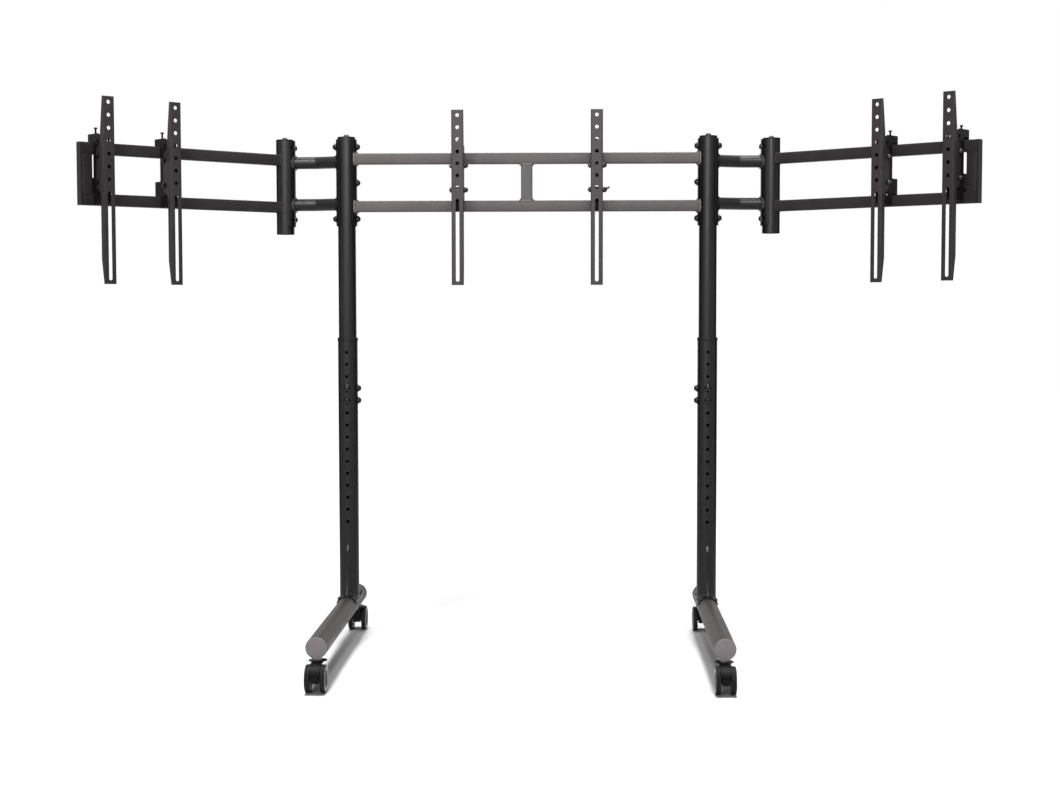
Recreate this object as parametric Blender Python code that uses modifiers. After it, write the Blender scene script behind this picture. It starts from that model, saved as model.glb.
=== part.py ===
"""Triple monitor stand.

Two telescoping posts stand on caster feet and carry a fixed centre frame. A wing hangs on an arm at
each side and folds forward. Six screen rails hang on the bars by hook brackets. Metres, +Z up, the
user's side is -Y, and the origin is on the floor, midway between the posts.
"""
import math

import bmesh
import bpy
from mathutils import Matrix, Vector

# Heights
FRAME_Z = 1.143            # middle of the bars, arms and saddles
LOWER_POST_TOP = 0.753
COLLAR_HEIGHT = 0.009
UPPER_POST_BOTTOM = 0.579
UPPER_POST_TOP = 1.2525
HINGE_TUBE_BOTTOM = 1.018
HINGE_TUBE_TOP = 1.2495
FOOT_Z = 0.097             # middle of the foot tubes

# Tubes
POST_RADIUS = 0.02415      # lower posts and foot tubes
INNER_RADIUS = 0.0218      # upper posts and hinge tubes
TUBE_WALL = 0.002
TUBE_SIDES = 20
HOLE_SIDES = 6
SLIDE_GAP = 0.0003         # between fixed neighbours
HINGE_GAP = 0.0006         # between a hinge tube and its saddle

# Plan of the feet, from the post's axis
POST_X = 0.445
FOOT_FRONT = 0.552
FOOT_REAR = 0.155
POST_Y = (FOOT_FRONT - FOOT_REAR) / 2

# Height holes and base
HOLE_COUNT = 15
HOLE_PITCH = 0.030
FIRST_HOLE_Z = 0.726
HOLE_RADIUS = 0.0035
GUSSET_TOP = 0.2468
GUSSET_THICKNESS = 0.004
GUSSET_REACH = 0.012
BASE_SADDLE_HALF_LENGTH = 0.058
BASE_SADDLE_HALF_ANGLE = math.radians(72)

# Saddles of the frame
SADDLE_HEIGHT = 0.2125
SADDLE_WALL = 0.0035
SADDLE_CORNER = 0.008
POST_SADDLE_HALF_ANGLE = math.radians(48)
HINGE_SADDLE_HALF_ANGLE = math.radians(72)
SLOT_HALF_ANGLE = math.radians(54)
SLOT_HEIGHT = 0.0075
SADDLE_BOLT_RISE = 0.0885

# Flat bars
BAR_HEIGHT = 0.027
BAR_DEPTH = 0.020
BAR_WALL = 0.0015
BAR_RISE = 0.0582          # each bar's middle above or below the frame's middle
BAR_SET_FORWARD = 0.006    # centre bars in front of the posts' axes
STRAP_WIDTH = 0.028
VENT_RADIUS = 0.0025
VENT_INSET = 0.060

# Arms and hinges, from the post's axis
HINGE_OUT = 0.158
HINGE_BACK = 0.034
ARM_RADIUS = 0.015
ARM_RISE = 0.052
ARM_BEND_OUT = 0.076
ARM_BEND_BACK = 0.030
ARM_BEND_RADIUS = 0.045

# Wings
WING_LENGTH = 0.559        # hinge axis to the outer end
WING_REST_DEGREES = {"left": 43.6, "right": 39.9}
END_CAP_THICKNESS = 0.0025
UPRIGHT_WIDTH = 0.027

# Caps
CAP_DISC = 0.003
CAP_PLUG = 0.012
FOOT_CAP_DISC = 0.0025

# Screen rails, with p the distance in front of the bars' middle plane
RAIL_WIDTH = 0.0295
RAIL_SHEET = 0.002
RAIL_FRONT = 0.062
RAIL_TOP = 0.1712          # above the frame's middle
RAIL_LENGTH = 0.4235
RAIL_HOLES = 7
RAIL_HOLE_PITCH = 0.0291
RAIL_FIRST_HOLE = 0.0130
RAIL_HOLE_RADIUS = 0.0045
RAIL_SLOT_GAP = 0.0268     # last hole to the slot's top end
RAIL_SLOT_FOOT = 0.0084    # slot's bottom end to the rail's
RAIL_SLOT_WIDTH = 0.0088
FLANGE_DEPTH = 0.014
FLANGE_EAR = 0.0335        # depth round the tilt bolts
FLANGE_TIP = 0.004
FLANGE_TOP_TAPER = 0.080
FLANGE_FOOT_TAPER = 0.056

# Hook brackets
BRACKET_SHEET = 0.002
BRACKET_GAP = 0.0003
PIVOT_FORWARD = 0.035
PIVOT_RISE = 0.0385
LOCK_DROP = 0.059          # second tilt bolt below the pivot
TILT_DEGREES = 8
HOOK_BEHIND = 0.0035       # thickness of the hook's lip behind a bar
HOOK_TOP = 0.0895
UPPER_HOOK_DROP = 0.060
LOWER_HOOK_TOP = -0.0102
LOWER_HOOK_DROP = -0.060
BRACKET_FOOT = -0.078
BRACKET_NOSE = 0.053
BOLT_SIDES = 8
BOLT_RADIUS = 0.003
BOLT_HEAD_RADIUS = 0.0062
BOLT_HEAD_HEIGHT = 0.0036
NUT_RADIUS = 0.0056
NUT_HEIGHT = 0.0040
BOLT_HOLE_RADIUS = 0.0036
PEEP_HOLE_RADIUS = 0.0045
PEEP_FORWARD = 0.032
UPPER_PEEP_RISE = 0.0725
LOWER_PEEP_RISE = -0.0475

# Levelling screws
SCREW_RADIUS = 0.0024
SCREW_HOLE_RADIUS = 0.0030
SCREW_LENGTH = 0.0340
SCREW_HEAD_RADIUS = 0.0043
SCREW_HEAD_HEIGHT = 0.0030

# Where each bracket stands on its bars, and its lift off them. A place is measured from the middle
# of the centre frame, from the hinge on a wing's inner bracket, and from the wing's end on its outer
CENTRE_BRACKETS = {"centre_left": (-0.1665, 0.0), "centre_right": (0.1715, 0.0)}
INNER_BRACKETS = {"left": (0.344, 0.0), "right": (0.330, 0.0035)}
OUTER_BRACKETS = {"left": (0.0435, 0.001), "right": (0.0475, 0.006)}

# Casters
WHEEL_SIDES = 16
WHEEL_RADIUS = 0.031
WHEEL_TREAD = 0.0125
WHEEL_SPACE = 0.0245       # between the two wheels
AXLE_RADIUS = 0.0035
STEM_INSET = 0.024         # foot tube's end to the stem
TRAIL = 0.028
HOOD_RADIUS = 0.0285
HOOD_FOOT = 0.0245
HOOD_TOP_WIDTH = 0.0235
HOOD_FOOT_WIDTH = 0.018
SWIVEL_DISC_RADIUS = 0.016
SWIVEL_DISC = (0.0636, 0.0686)
PLATE = (0.0690, 0.0715)
PLATE_WIDTH = 0.046
PLATE_LENGTH = 0.049
STEM_RADIUS = 0.005
STEM_TOP = 0.084
BOSS_RADIUS = 0.009
PIN_RADIUS = 0.0045
PIN_FOOT = 0.048
PIN_GAP = 0.0004

COAT = {"colour": (0.062, 0.058, 0.060), "roughness": 0.5, "metallic": 0.25}
COAT_LIGHT = {"colour": (0.105, 0.096, 0.097), "roughness": 0.45, "metallic": 0.3}
PLASTIC = {"colour": (0.020, 0.020, 0.021), "roughness": 0.55, "metallic": 0.0}
RUBBER = {"colour": (0.045, 0.045, 0.047), "roughness": 0.75, "metallic": 0.0}
CAP_GREY = {"colour": (0.300, 0.270, 0.280), "roughness": 0.55, "metallic": 0.0}
SCREW_STEEL = {"colour": (0.050, 0.050, 0.052), "roughness": 0.35, "metallic": 0.9}


def start_scene():
    for obj in list(bpy.data.objects):
        bpy.data.objects.remove(obj, do_unlink=True)
    stand = bpy.data.collections.new("triple_monitor_stand")
    workshop = bpy.data.collections.new("construction")
    for collection in (stand, workshop):
        bpy.context.scene.collection.children.link(collection)
    return stand, workshop


STAND, WORKSHOP = start_scene()


def material(name, look):
    made = bpy.data.materials.new(name)
    made.use_nodes = True
    shader = made.node_tree.nodes["Principled BSDF"]
    shader.inputs["Base Color"].default_value = (*look["colour"], 1.0)
    shader.inputs["Roughness"].default_value = look["roughness"]
    shader.inputs["Metallic"].default_value = look["metallic"]
    return made


def solid(mesh):
    """A construction solid, used up by fused or part."""
    obj = bpy.data.objects.new(mesh.name, mesh)
    obj.hide_render = True
    obj.display_type = "WIRE"
    WORKSHOP.objects.link(obj)
    return obj


def evaluated_mesh(obj, weld=False):
    """The object's mesh with its modifiers or its curve worked out."""
    graph = bpy.context.evaluated_depsgraph_get()
    mesh = bpy.data.meshes.new_from_object(obj.evaluated_get(graph), depsgraph=graph)
    if weld:
        shape = bmesh.new()
        shape.from_mesh(mesh)
        bmesh.ops.remove_doubles(shape, verts=shape.verts, dist=0.00001)
        bmesh.ops.recalc_face_normals(shape, faces=shape.faces)
        shape.to_mesh(mesh)
        shape.free()
    return mesh


def placed(obj, matrix):
    obj.data.transform(matrix)
    if matrix.determinant() < 0:
        obj.data.flip_normals()
    return obj


def shifted(obj, x=0.0, y=0.0, z=0.0):
    return placed(obj, Matrix.Translation((x, y, z)))


def turn(axis, degrees):
    return Matrix.Rotation(math.radians(degrees), 4, axis)


def box(low, high):
    shape = bmesh.new()
    bmesh.ops.create_cube(shape, size=1.0)
    size = Vector(high) - Vector(low)
    middle = (Vector(high) + Vector(low)) / 2
    bmesh.ops.scale(shape, vec=size, verts=shape.verts)
    bmesh.ops.translate(shape, vec=middle, verts=shape.verts)
    mesh = bpy.data.meshes.new("box")
    shape.to_mesh(mesh)
    shape.free()
    return solid(mesh)


def pins(places, radius, length, sides, matrix=None):
    """Equal cylinders in one mesh, their axes along Z unless a matrix turns each about its middle."""
    shape = bmesh.new()
    for place in places:
        frame = Matrix.Translation(place)
        if matrix is not None:
            frame = frame @ matrix
        bmesh.ops.create_cone(
            shape, cap_ends=True, cap_tris=False, segments=sides, radius1=radius, radius2=radius,
            depth=length, matrix=frame)
    mesh = bpy.data.meshes.new("pins")
    shape.to_mesh(mesh)
    shape.free()
    return solid(mesh)


def turned(profile, sides, ring=False):
    """A profile of (radius, z) turned about Z, with a flat facet facing +X."""
    count = len(profile)
    edges = [(i, i + 1) for i in range(count - 1)]
    if ring:
        edges.append((count - 1, 0))
    mesh = bpy.data.meshes.new("turned")
    mesh.from_pydata([(radius, 0.0, z) for radius, z in profile], edges, [])
    obj = solid(mesh)
    screw = obj.modifiers.new("turn", "SCREW")
    screw.steps = sides
    screw.render_steps = sides
    screw.use_merge_vertices = True
    screw.merge_threshold = 0.00005
    finished = solid(evaluated_mesh(obj, weld=True))
    bpy.data.objects.remove(obj, do_unlink=True)
    return placed(finished, turn("Z", 180.0 / sides))


def tube(radius, wall, bottom, top, sides=TUBE_SIDES):
    inner = radius - wall
    return turned([(radius, top), (radius, bottom), (inner, bottom), (inner, top)], sides, ring=True)


def plate(outline, thickness, holes=()):
    """A flat outline of (x, y) with holes, its thickness centred on z = 0."""
    curve = bpy.data.curves.new("plate", "CURVE")
    curve.dimensions = "2D"
    curve.fill_mode = "BOTH"
    curve.extrude = thickness / 2
    for loop in (outline, *holes):
        spline = curve.splines.new("POLY")
        spline.points.add(len(loop) - 1)
        for point, (x, y) in zip(spline.points, loop):
            point.co = (x, y, 0.0, 1.0)
        spline.use_cyclic_u = True
    obj = bpy.data.objects.new("plate", curve)
    WORKSHOP.objects.link(obj)
    finished = solid(evaluated_mesh(obj, weld=True))
    bpy.data.objects.remove(obj, do_unlink=True)
    return finished


def arc(x, y, radius, start, end, steps):
    """Points on an arc, its angles in degrees."""
    points = []
    for step in range(steps + 1):
        angle = math.radians(start + (end - start) * step / steps)
        points.append((x + radius * math.cos(angle), y + radius * math.sin(angle)))
    return points


def circle(x, y, radius, sides):
    return arc(x, y, radius, 180.0 / sides, 360.0 - 180.0 / sides, sides - 1)


def rounded_rectangle(half_x, half_y, corner, steps=2):
    points = []
    for sign_x, sign_y, start in ((1, 1, 0), (-1, 1, 90), (-1, -1, 180), (1, -1, 270)):
        x = sign_x * (half_x - corner)
        y = sign_y * (half_y - corner)
        points += arc(x, y, corner, start, start + 90, steps)
    return points


def stadium(x, y, half_length, radius, steps=3):
    """A slot along X."""
    reach = half_length - radius
    return arc(x + reach, y, radius, -90, 90, steps) + arc(x - reach, y, radius, 90, 270, steps)


def rolled_plate(half_angle, height, inner_radius, slots=()):
    """A rounded plate with slots, rolled about Z round a tube, its middle facing +X."""
    middle_radius = inner_radius + SADDLE_WALL / 2
    half_width = half_angle * middle_radius
    holes = []
    for rise in slots:
        holes.append(stadium(0.0, rise, SLOT_HALF_ANGLE * middle_radius, SLOT_HEIGHT / 2))
    flat = plate(rounded_rectangle(half_width, height / 2, SADDLE_CORNER), SADDLE_WALL, holes)
    shape = bmesh.new()
    shape.from_mesh(flat.data)
    facet = 2 * math.pi / TUBE_SIDES
    folds = int(half_angle / facet + 0.5)
    for fold in range(-folds, folds):
        along = (fold + 0.5) * facet * middle_radius
        geometry = shape.verts[:] + shape.edges[:] + shape.faces[:]
        bmesh.ops.bisect_plane(
            shape, geom=geometry, dist=0.000001, plane_co=(along, 0, 0), plane_no=(1, 0, 0))
    for vert in shape.verts:
        angle = vert.co.x / middle_radius
        radius = middle_radius + vert.co.z
        vert.co = (radius * math.cos(angle), radius * math.sin(angle), vert.co.y)
    shape.to_mesh(flat.data)
    shape.free()
    return flat


def bent_rod(points, radius, resolution=3):
    curve = bpy.data.curves.new("rod", "CURVE")
    curve.dimensions = "3D"
    curve.bevel_depth = radius
    curve.bevel_resolution = resolution
    curve.use_fill_caps = True
    spline = curve.splines.new("POLY")
    spline.points.add(len(points) - 1)
    for point, place in zip(spline.points, points):
        point.co = (*place, 1.0)
    obj = bpy.data.objects.new("rod", curve)
    WORKSHOP.objects.link(obj)
    finished = solid(evaluated_mesh(obj, weld=True))
    bpy.data.objects.remove(obj, do_unlink=True)
    return finished


def filleted(start, corner, end, radius, steps=2):
    """A flat path from start to end with its one corner rounded."""
    a = Vector(start)
    b = Vector(corner)
    c = Vector(end)
    to_start = (a - b).normalized()
    to_end = (c - b).normalized()
    half = to_start.angle(to_end) / 2
    back = radius / math.tan(half)
    centre = b + (to_start + to_end).normalized() * radius / math.sin(half)
    first = b + to_start * back - centre
    last = b + to_end * back - centre
    axis = first.cross(last).normalized()
    sweep = first.angle(last)
    path = [a]
    for step in range(steps + 1):
        path.append(centre + Matrix.Rotation(sweep * step / steps, 3, axis) @ first)
    path.append(c)
    return path


def fused(solids, cutters=()):
    """The union of the solids, less the cutters; all of them are used up."""
    base = solids[0]
    for other, operation in [(s, "UNION") for s in solids[1:]] + [(c, "DIFFERENCE") for c in cutters]:
        cut = base.modifiers.new(operation.lower(), "BOOLEAN")
        cut.object = other
        cut.operation = operation
        cut.solver = "EXACT"
    finished = solid(evaluated_mesh(base))
    for used in [*solids, *cutters]:
        bpy.data.objects.remove(used, do_unlink=True)
    return finished


def empty(name, location, degrees=0.0, parent=None):
    obj = bpy.data.objects.new(name, None)
    STAND.objects.link(obj)
    obj.parent = parent
    obj.location = location
    obj.rotation_euler = (0.0, 0.0, math.radians(degrees))
    return obj


def part(name, source, look, location=(0, 0, 0), degrees=0.0, parent=None):
    """A finished piece: source is a construction solid, used up here, or a mesh that pieces share."""
    mesh = source
    if isinstance(source, bpy.types.Object):
        mesh = source.data
        bpy.data.objects.remove(source, do_unlink=True)
    if not mesh.materials:
        mesh.materials.append(look)
    mesh.shade_smooth()
    mesh.set_sharp_from_angle(angle=math.radians(35))
    obj = bpy.data.objects.new(name, mesh)
    STAND.objects.link(obj)
    obj.parent = parent
    obj.location = location
    obj.rotation_euler = (0.0, 0.0, math.radians(degrees))
    return obj


coat = material("powder_coat", COAT)
coat_light = material("powder_coat_bars", COAT_LIGHT)
plastic = material("black_plastic", PLASTIC)
rubber = material("wheel_rubber", RUBBER)
cap_grey = material("end_cap_grey", CAP_GREY)
screw_steel = material("screw_steel", SCREW_STEEL)


# Lower posts

def base_saddle():
    """The half shell that the post stands on the foot tube with, its tube along Y."""
    shell = rolled_plate(
        BASE_SADDLE_HALF_ANGLE, 2 * BASE_SADDLE_HALF_LENGTH, POST_RADIUS + SLIDE_GAP)
    return shifted(placed(shell, turn("X", -90) @ turn("Z", -90)), z=FOOT_Z)


def gusset():
    """The rib in front of the post, flared where it meets the saddle."""
    saddle_top = FOOT_Z + POST_RADIUS + SADDLE_WALL
    inside = POST_RADIUS - TUBE_WALL / 2
    front = POST_RADIUS + GUSSET_REACH
    outline = [
        (inside, GUSSET_TOP), (inside, saddle_top - SADDLE_WALL / 2),
        (BASE_SADDLE_HALF_LENGTH, saddle_top - SADDLE_WALL / 2),
        (BASE_SADDLE_HALF_LENGTH - 0.002, saddle_top + 0.003),
        (front + 0.008, saddle_top + 0.018), (front, saddle_top + 0.040),
        (front, GUSSET_TOP - GUSSET_REACH)]
    rib = plate(outline, GUSSET_THICKNESS)
    return placed(rib, turn("Z", -90) @ turn("X", 90))


def lower_post(inner_side):
    """A lower post about its own axis; inner_side is the X sign of the side that faces the other post."""
    post = tube(POST_RADIUS, TUBE_WALL, FOOT_Z + 0.006, LOWER_POST_TOP)
    bore = pins(
        [(0, 0, FOOT_Z)], POST_RADIUS + SADDLE_WALL / 2, 4 * POST_RADIUS, TUBE_SIDES, turn("X", 90))
    seated = fused([post], [bore])
    rows = [FIRST_HOLE_Z - HOLE_PITCH * row for row in range(HOLE_COUNT)]
    depth = 3 * TUBE_WALL
    front_holes = pins(
        [(0, -POST_RADIUS, z) for z in rows], HOLE_RADIUS, 2 * depth, HOLE_SIDES, turn("X", 90))
    side_holes = pins(
        [(inner_side * POST_RADIUS, 0, z) for z in rows], HOLE_RADIUS, 2 * depth, HOLE_SIDES,
        turn("Z", 90) @ turn("X", 90))
    return fused([seated, base_saddle(), gusset()], [front_holes, side_holes])


def collar():
    inner = INNER_RADIUS + SLIDE_GAP
    outer = POST_RADIUS + 0.0010
    bottom = LOWER_POST_TOP + SLIDE_GAP
    top = LOWER_POST_TOP + COLLAR_HEIGHT
    lead = 0.0012
    profile = [
        (outer - lead, top), (outer, top - lead), (outer, bottom), (inner, bottom), (inner, top)]
    return turned(profile, TUBE_SIDES, ring=True)


def tube_cap(radius, plug_radius, disc):
    """A cap with a plug below it; z = 0 is the tube's end and the disc stands on it."""
    low = SLIDE_GAP
    edge = 0.001
    profile = [
        (0.0, disc), (radius - edge, disc), (radius, disc - edge), (radius, low), (plug_radius, low),
        (plug_radius, -CAP_PLUG), (0.0, -CAP_PLUG)]
    return turned(profile, TUBE_SIDES)


# Feet and casters

def foot_tube():
    """The foot tube along Y about the post's axis, with a hole for each caster's stem."""
    length_front = FOOT_FRONT - FOOT_CAP_DISC
    length_rear = FOOT_REAR - FOOT_CAP_DISC
    pipe = placed(tube(POST_RADIUS, TUBE_WALL, -length_rear, length_front), turn("X", 90))
    stems = [(0, STEM_INSET - FOOT_FRONT, -POST_RADIUS), (0, FOOT_REAR - STEM_INSET, -POST_RADIUS)]
    return fused([pipe], [pins(stems, STEM_RADIUS + SLIDE_GAP, 4 * TUBE_WALL, 12)])


def caster_mount():
    """Plate, threaded stem and swivel pin about the stem's axis, heights above the floor."""
    plate_low, plate_high = PLATE
    corners = rounded_rectangle(PLATE_WIDTH / 2, PLATE_LENGTH / 2, 0.007)
    flange = plate(corners, plate_high - plate_low)
    shifted(flange, z=(plate_low + plate_high) / 2)
    boss_top = FOOT_Z - POST_RADIUS - SLIDE_GAP
    middle = (plate_low + plate_high) / 2
    stem = turned(
        [(0.0, STEM_TOP), (STEM_RADIUS, STEM_TOP), (STEM_RADIUS, boss_top), (BOSS_RADIUS, boss_top),
         (BOSS_RADIUS, middle), (PIN_RADIUS, middle), (PIN_RADIUS, PIN_FOOT), (0.0, PIN_FOOT)], 12)
    return fused([flange, stem])


def caster_body():
    """Hood between the wheels, stem boss and swivel disc, trailing towards -Y."""
    hood_top = WHEEL_RADIUS + HOOD_RADIUS
    chord = math.degrees(math.asin((HOOD_FOOT - WHEEL_RADIUS) / HOOD_RADIUS))
    outline = arc(TRAIL, WHEEL_RADIUS, HOOD_RADIUS, chord, 180 - chord, 10)
    web = placed(plate(outline, HOOD_TOP_WIDTH), turn("Z", -90) @ turn("X", 90))
    for vert in web.data.vertices:
        narrowed = (hood_top - vert.co.z) / (hood_top - HOOD_FOOT)
        vert.co.x *= 1 - narrowed * (1 - HOOD_FOOT_WIDTH / HOOD_TOP_WIDTH)
    disc_low, disc_high = SWIVEL_DISC
    boss_radius = HOOD_FOOT_WIDTH / 2
    boss = turned(
        [(0.0, disc_high), (SWIVEL_DISC_RADIUS, disc_high), (SWIVEL_DISC_RADIUS, disc_low),
         (boss_radius, disc_low), (boss_radius, HOOD_FOOT + 0.014), (0.0, HOOD_FOOT + 0.014)], 12)
    crown = box(
        (-HOOD_TOP_WIDTH / 2, -TRAIL - 0.010, WHEEL_RADIUS * 2 + 0.0008),
        (HOOD_TOP_WIDTH / 2, 0.004, disc_low + 0.001))
    neck = box(
        (-boss_radius, -TRAIL - 0.008, hood_top - 0.006), (boss_radius, 0.002, disc_low + 0.0005))
    socket = pins(
        [(0, 0, (PIN_FOOT + disc_high) / 2)], PIN_RADIUS + PIN_GAP,
        disc_high - PIN_FOOT + 0.004, 12)
    axle_bore = pins(
        [(0, -TRAIL, WHEEL_RADIUS)], AXLE_RADIUS + PIN_GAP, 2 * HOOD_TOP_WIDTH, WHEEL_SIDES,
        turn("Y", 90))
    return fused([web, neck, crown, boss], [socket, axle_bore])


def caster_wheels():
    """Both wheels on their axle, turned about X, with a flat of each tread on the floor."""
    rim = WHEEL_RADIUS / math.cos(math.pi / WHEEL_SIDES)
    inner = WHEEL_SPACE / 2
    outer = inner + WHEEL_TREAD
    edge = 0.002
    half = [
        (0.0, outer), (rim - edge, outer), (rim, outer - edge), (rim, inner), (AXLE_RADIUS, inner)]
    other = [(radius, -z) for radius, z in reversed(half)]
    pair = turned(half + other, WHEEL_SIDES)
    return placed(pair, turn("Y", 90))


# Frame

def post_saddle(side):
    """A saddle shell round a post, facing the X side that is given."""
    shell = rolled_plate(POST_SADDLE_HALF_ANGLE, SADDLE_HEIGHT, INNER_RADIUS + SLIDE_GAP)
    if side < 0:
        placed(shell, turn("Z", 180))
    return shell


def crossbar_frame():
    """Bars, strap and end saddles, about the point midway between the posts at the bars' height."""
    weld_radius = INNER_RADIUS + SADDLE_WALL / 2
    reach = POST_X - 0.012
    y_low = -BAR_SET_FORWARD - BAR_DEPTH / 2
    y_high = -BAR_SET_FORWARD + BAR_DEPTH / 2
    bars = []
    cavities = []
    for rise in (BAR_RISE, -BAR_RISE):
        bars.append(box((-reach, y_low, rise - BAR_HEIGHT / 2), (reach, y_high, rise + BAR_HEIGHT / 2)))
        inside = BAR_HEIGHT / 2 - BAR_WALL
        end = POST_X - 0.032
        cavities.append(box(
            (-end, y_low + BAR_WALL, rise - inside), (end, y_high - BAR_WALL, rise + inside)))
    strap = box((-STRAP_WIDTH / 2, y_low, -BAR_RISE), (STRAP_WIDTH / 2, y_high, BAR_RISE))
    inside = STRAP_WIDTH / 2 - BAR_WALL
    cavities.append(box(
        (-inside, y_low + 2 * BAR_WALL, -BAR_RISE), (inside, y_high - 2 * BAR_WALL, BAR_RISE)))
    post_bores = pins([(-POST_X, 0, 0), (POST_X, 0, 0)], weld_radius, 2 * SADDLE_HEIGHT, TUBE_SIDES)
    skeleton = fused([*bars, strap], [post_bores])
    left = shifted(post_saddle(1), x=-POST_X)
    right = shifted(post_saddle(-1), x=POST_X)
    vents = pins(
        [(POST_X - VENT_INSET, y_high, BAR_RISE), (VENT_INSET - POST_X, y_high, BAR_RISE)],
        VENT_RADIUS, 4 * BAR_WALL, 8, turn("X", 90))
    return fused([skeleton, left, right], [*cavities, vents])


def arm(side):
    """One arm about its post's axis at the frame's height; side is the X sign it reaches to."""
    rods = []
    for rise in (ARM_RISE, -ARM_RISE):
        path = filleted(
            (side * 0.014, 0.0, rise), (side * ARM_BEND_OUT, ARM_BEND_BACK, rise),
            (side * (HINGE_OUT - 0.014), HINGE_BACK, rise), ARM_BEND_RADIUS)
        rods.append(bent_rod(path, ARM_RADIUS))
    post_bore = pins([(0, 0, 0)], INNER_RADIUS + SADDLE_WALL / 2, 2 * SADDLE_HEIGHT, TUBE_SIDES)
    hinge_place = (side * HINGE_OUT, HINGE_BACK, 0)
    hinge_bore = pins(
        [hinge_place], INNER_RADIUS + HINGE_GAP + SADDLE_WALL / 2, 2 * SADDLE_HEIGHT, TUBE_SIDES)
    shaped = [fused([rod], [copy]) for rod, copy in zip(rods, (post_bore, duplicate(post_bore)))]
    shaped = [fused([rod], [copy]) for rod, copy in zip(shaped, (hinge_bore, duplicate(hinge_bore)))]
    hinge_shell = rolled_plate(
        HINGE_SADDLE_HALF_ANGLE, SADDLE_HEIGHT, INNER_RADIUS + HINGE_GAP,
        (SADDLE_BOLT_RISE, -SADDLE_BOLT_RISE))
    if side > 0:
        placed(hinge_shell, turn("Z", 180))
    shifted(hinge_shell, *hinge_place)
    return fused([*shaped, post_saddle(side), hinge_shell])


def duplicate(obj):
    return solid(obj.data.copy())


def wing_frame(side):
    """One wing about its hinge axis at the frame's height, reaching along X to the side given."""
    tube_low = HINGE_TUBE_BOTTOM - FRAME_Z
    tube_high = HINGE_TUBE_TOP - FRAME_Z
    hinge_tube = tube(INNER_RADIUS, TUBE_WALL, tube_low, tube_high)
    end = WING_LENGTH - END_CAP_THICKNESS - SLIDE_GAP
    half_depth = BAR_DEPTH / 2
    inside = BAR_HEIGHT / 2 - BAR_WALL
    bars = []
    cavities = []
    for rise in (BAR_RISE, -BAR_RISE):
        bars.append(box(
            (0.012, -half_depth, rise - BAR_HEIGHT / 2), (end, half_depth, rise + BAR_HEIGHT / 2)))
        cavities.append(box(
            (INNER_RADIUS + 0.004, BAR_WALL - half_depth, rise - inside),
            (end + 0.01, half_depth - BAR_WALL, rise + inside)))
    upright_low = end - UPRIGHT_WIDTH
    upright = box((upright_low, -half_depth, -BAR_RISE), (end, half_depth, BAR_RISE))
    cavities.append(box(
        (upright_low + BAR_WALL, 2 * BAR_WALL - half_depth, -BAR_RISE),
        (end - BAR_WALL, half_depth - 2 * BAR_WALL, BAR_RISE)))
    bore = pins([(0, 0, 0)], INNER_RADIUS - TUBE_WALL / 2, 2 * SADDLE_HEIGHT, TUBE_SIDES)
    skeleton = fused([*bars, upright], [bore])
    frame = fused([skeleton, hinge_tube], cavities)
    if side < 0:
        placed(frame, Matrix.Scale(-1, 4, (1, 0, 0)))
    return frame


def wing_end_cap(side):
    half_height = BAR_RISE + BAR_HEIGHT / 2
    cap = plate(rounded_rectangle(BAR_DEPTH / 2, half_height, 0.002), END_CAP_THICKNESS)
    placed(cap, turn("X", 90))
    placed(cap, turn("Z", 90))
    return shifted(cap, x=side * (WING_LENGTH - END_CAP_THICKNESS / 2))


# Screen rails and hook brackets; x runs along the bars, -y is forward

def rail():
    """A screen rail about its pivot bolt."""
    top = RAIL_TOP - PIVOT_RISE
    foot = top - RAIL_LENGTH
    half = RAIL_WIDTH / 2
    holes = []
    for number in range(RAIL_HOLES):
        z = top - RAIL_FIRST_HOLE - number * RAIL_HOLE_PITCH
        holes.append(circle(0.0, z, RAIL_HOLE_RADIUS, HOLE_SIDES))
    slot_top = top - RAIL_FIRST_HOLE - (RAIL_HOLES - 1) * RAIL_HOLE_PITCH - RAIL_SLOT_GAP
    slot_foot = foot + RAIL_SLOT_FOOT
    radius = RAIL_SLOT_WIDTH / 2
    holes.append(
        arc(0.0, slot_top - radius, radius, 0, 180, 3) + arc(0.0, slot_foot + radius, radius, 180, 360, 3))
    face = plate([(-half, foot), (half, foot), (half, top), (-half, top)], RAIL_SHEET, holes)
    front = PIVOT_FORWARD - RAIL_FRONT
    placed(face, Matrix.Translation((0, front + RAIL_SHEET / 2, 0)) @ turn("X", 90))
    ear_top = 0.018
    ear_foot = -LOCK_DROP - 0.018
    slope = 0.008
    flange_outline = [
        (front, foot), (front, top), (front + FLANGE_TIP, top),
        (front + FLANGE_DEPTH, top - FLANGE_TOP_TAPER), (front + FLANGE_DEPTH, ear_top + slope),
        (front + FLANGE_EAR, ear_top), (front + FLANGE_EAR, ear_foot),
        (front + FLANGE_DEPTH, ear_foot - slope), (front + FLANGE_DEPTH, foot + FLANGE_FOOT_TAPER),
        (front + FLANGE_TIP, foot)]
    bolt_holes = [
        circle(0.0, 0.0, BOLT_HOLE_RADIUS, BOLT_SIDES),
        circle(0.0, -LOCK_DROP, BOLT_HOLE_RADIUS, BOLT_SIDES)]
    flanges = []
    for side in (-1, 1):
        flange = plate(flange_outline, RAIL_SHEET, bolt_holes)
        placed(flange, turn("Z", 90) @ turn("X", 90))
        flanges.append(shifted(flange, x=side * (half - RAIL_SHEET / 2)))
    return fused([face, *flanges])


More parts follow.
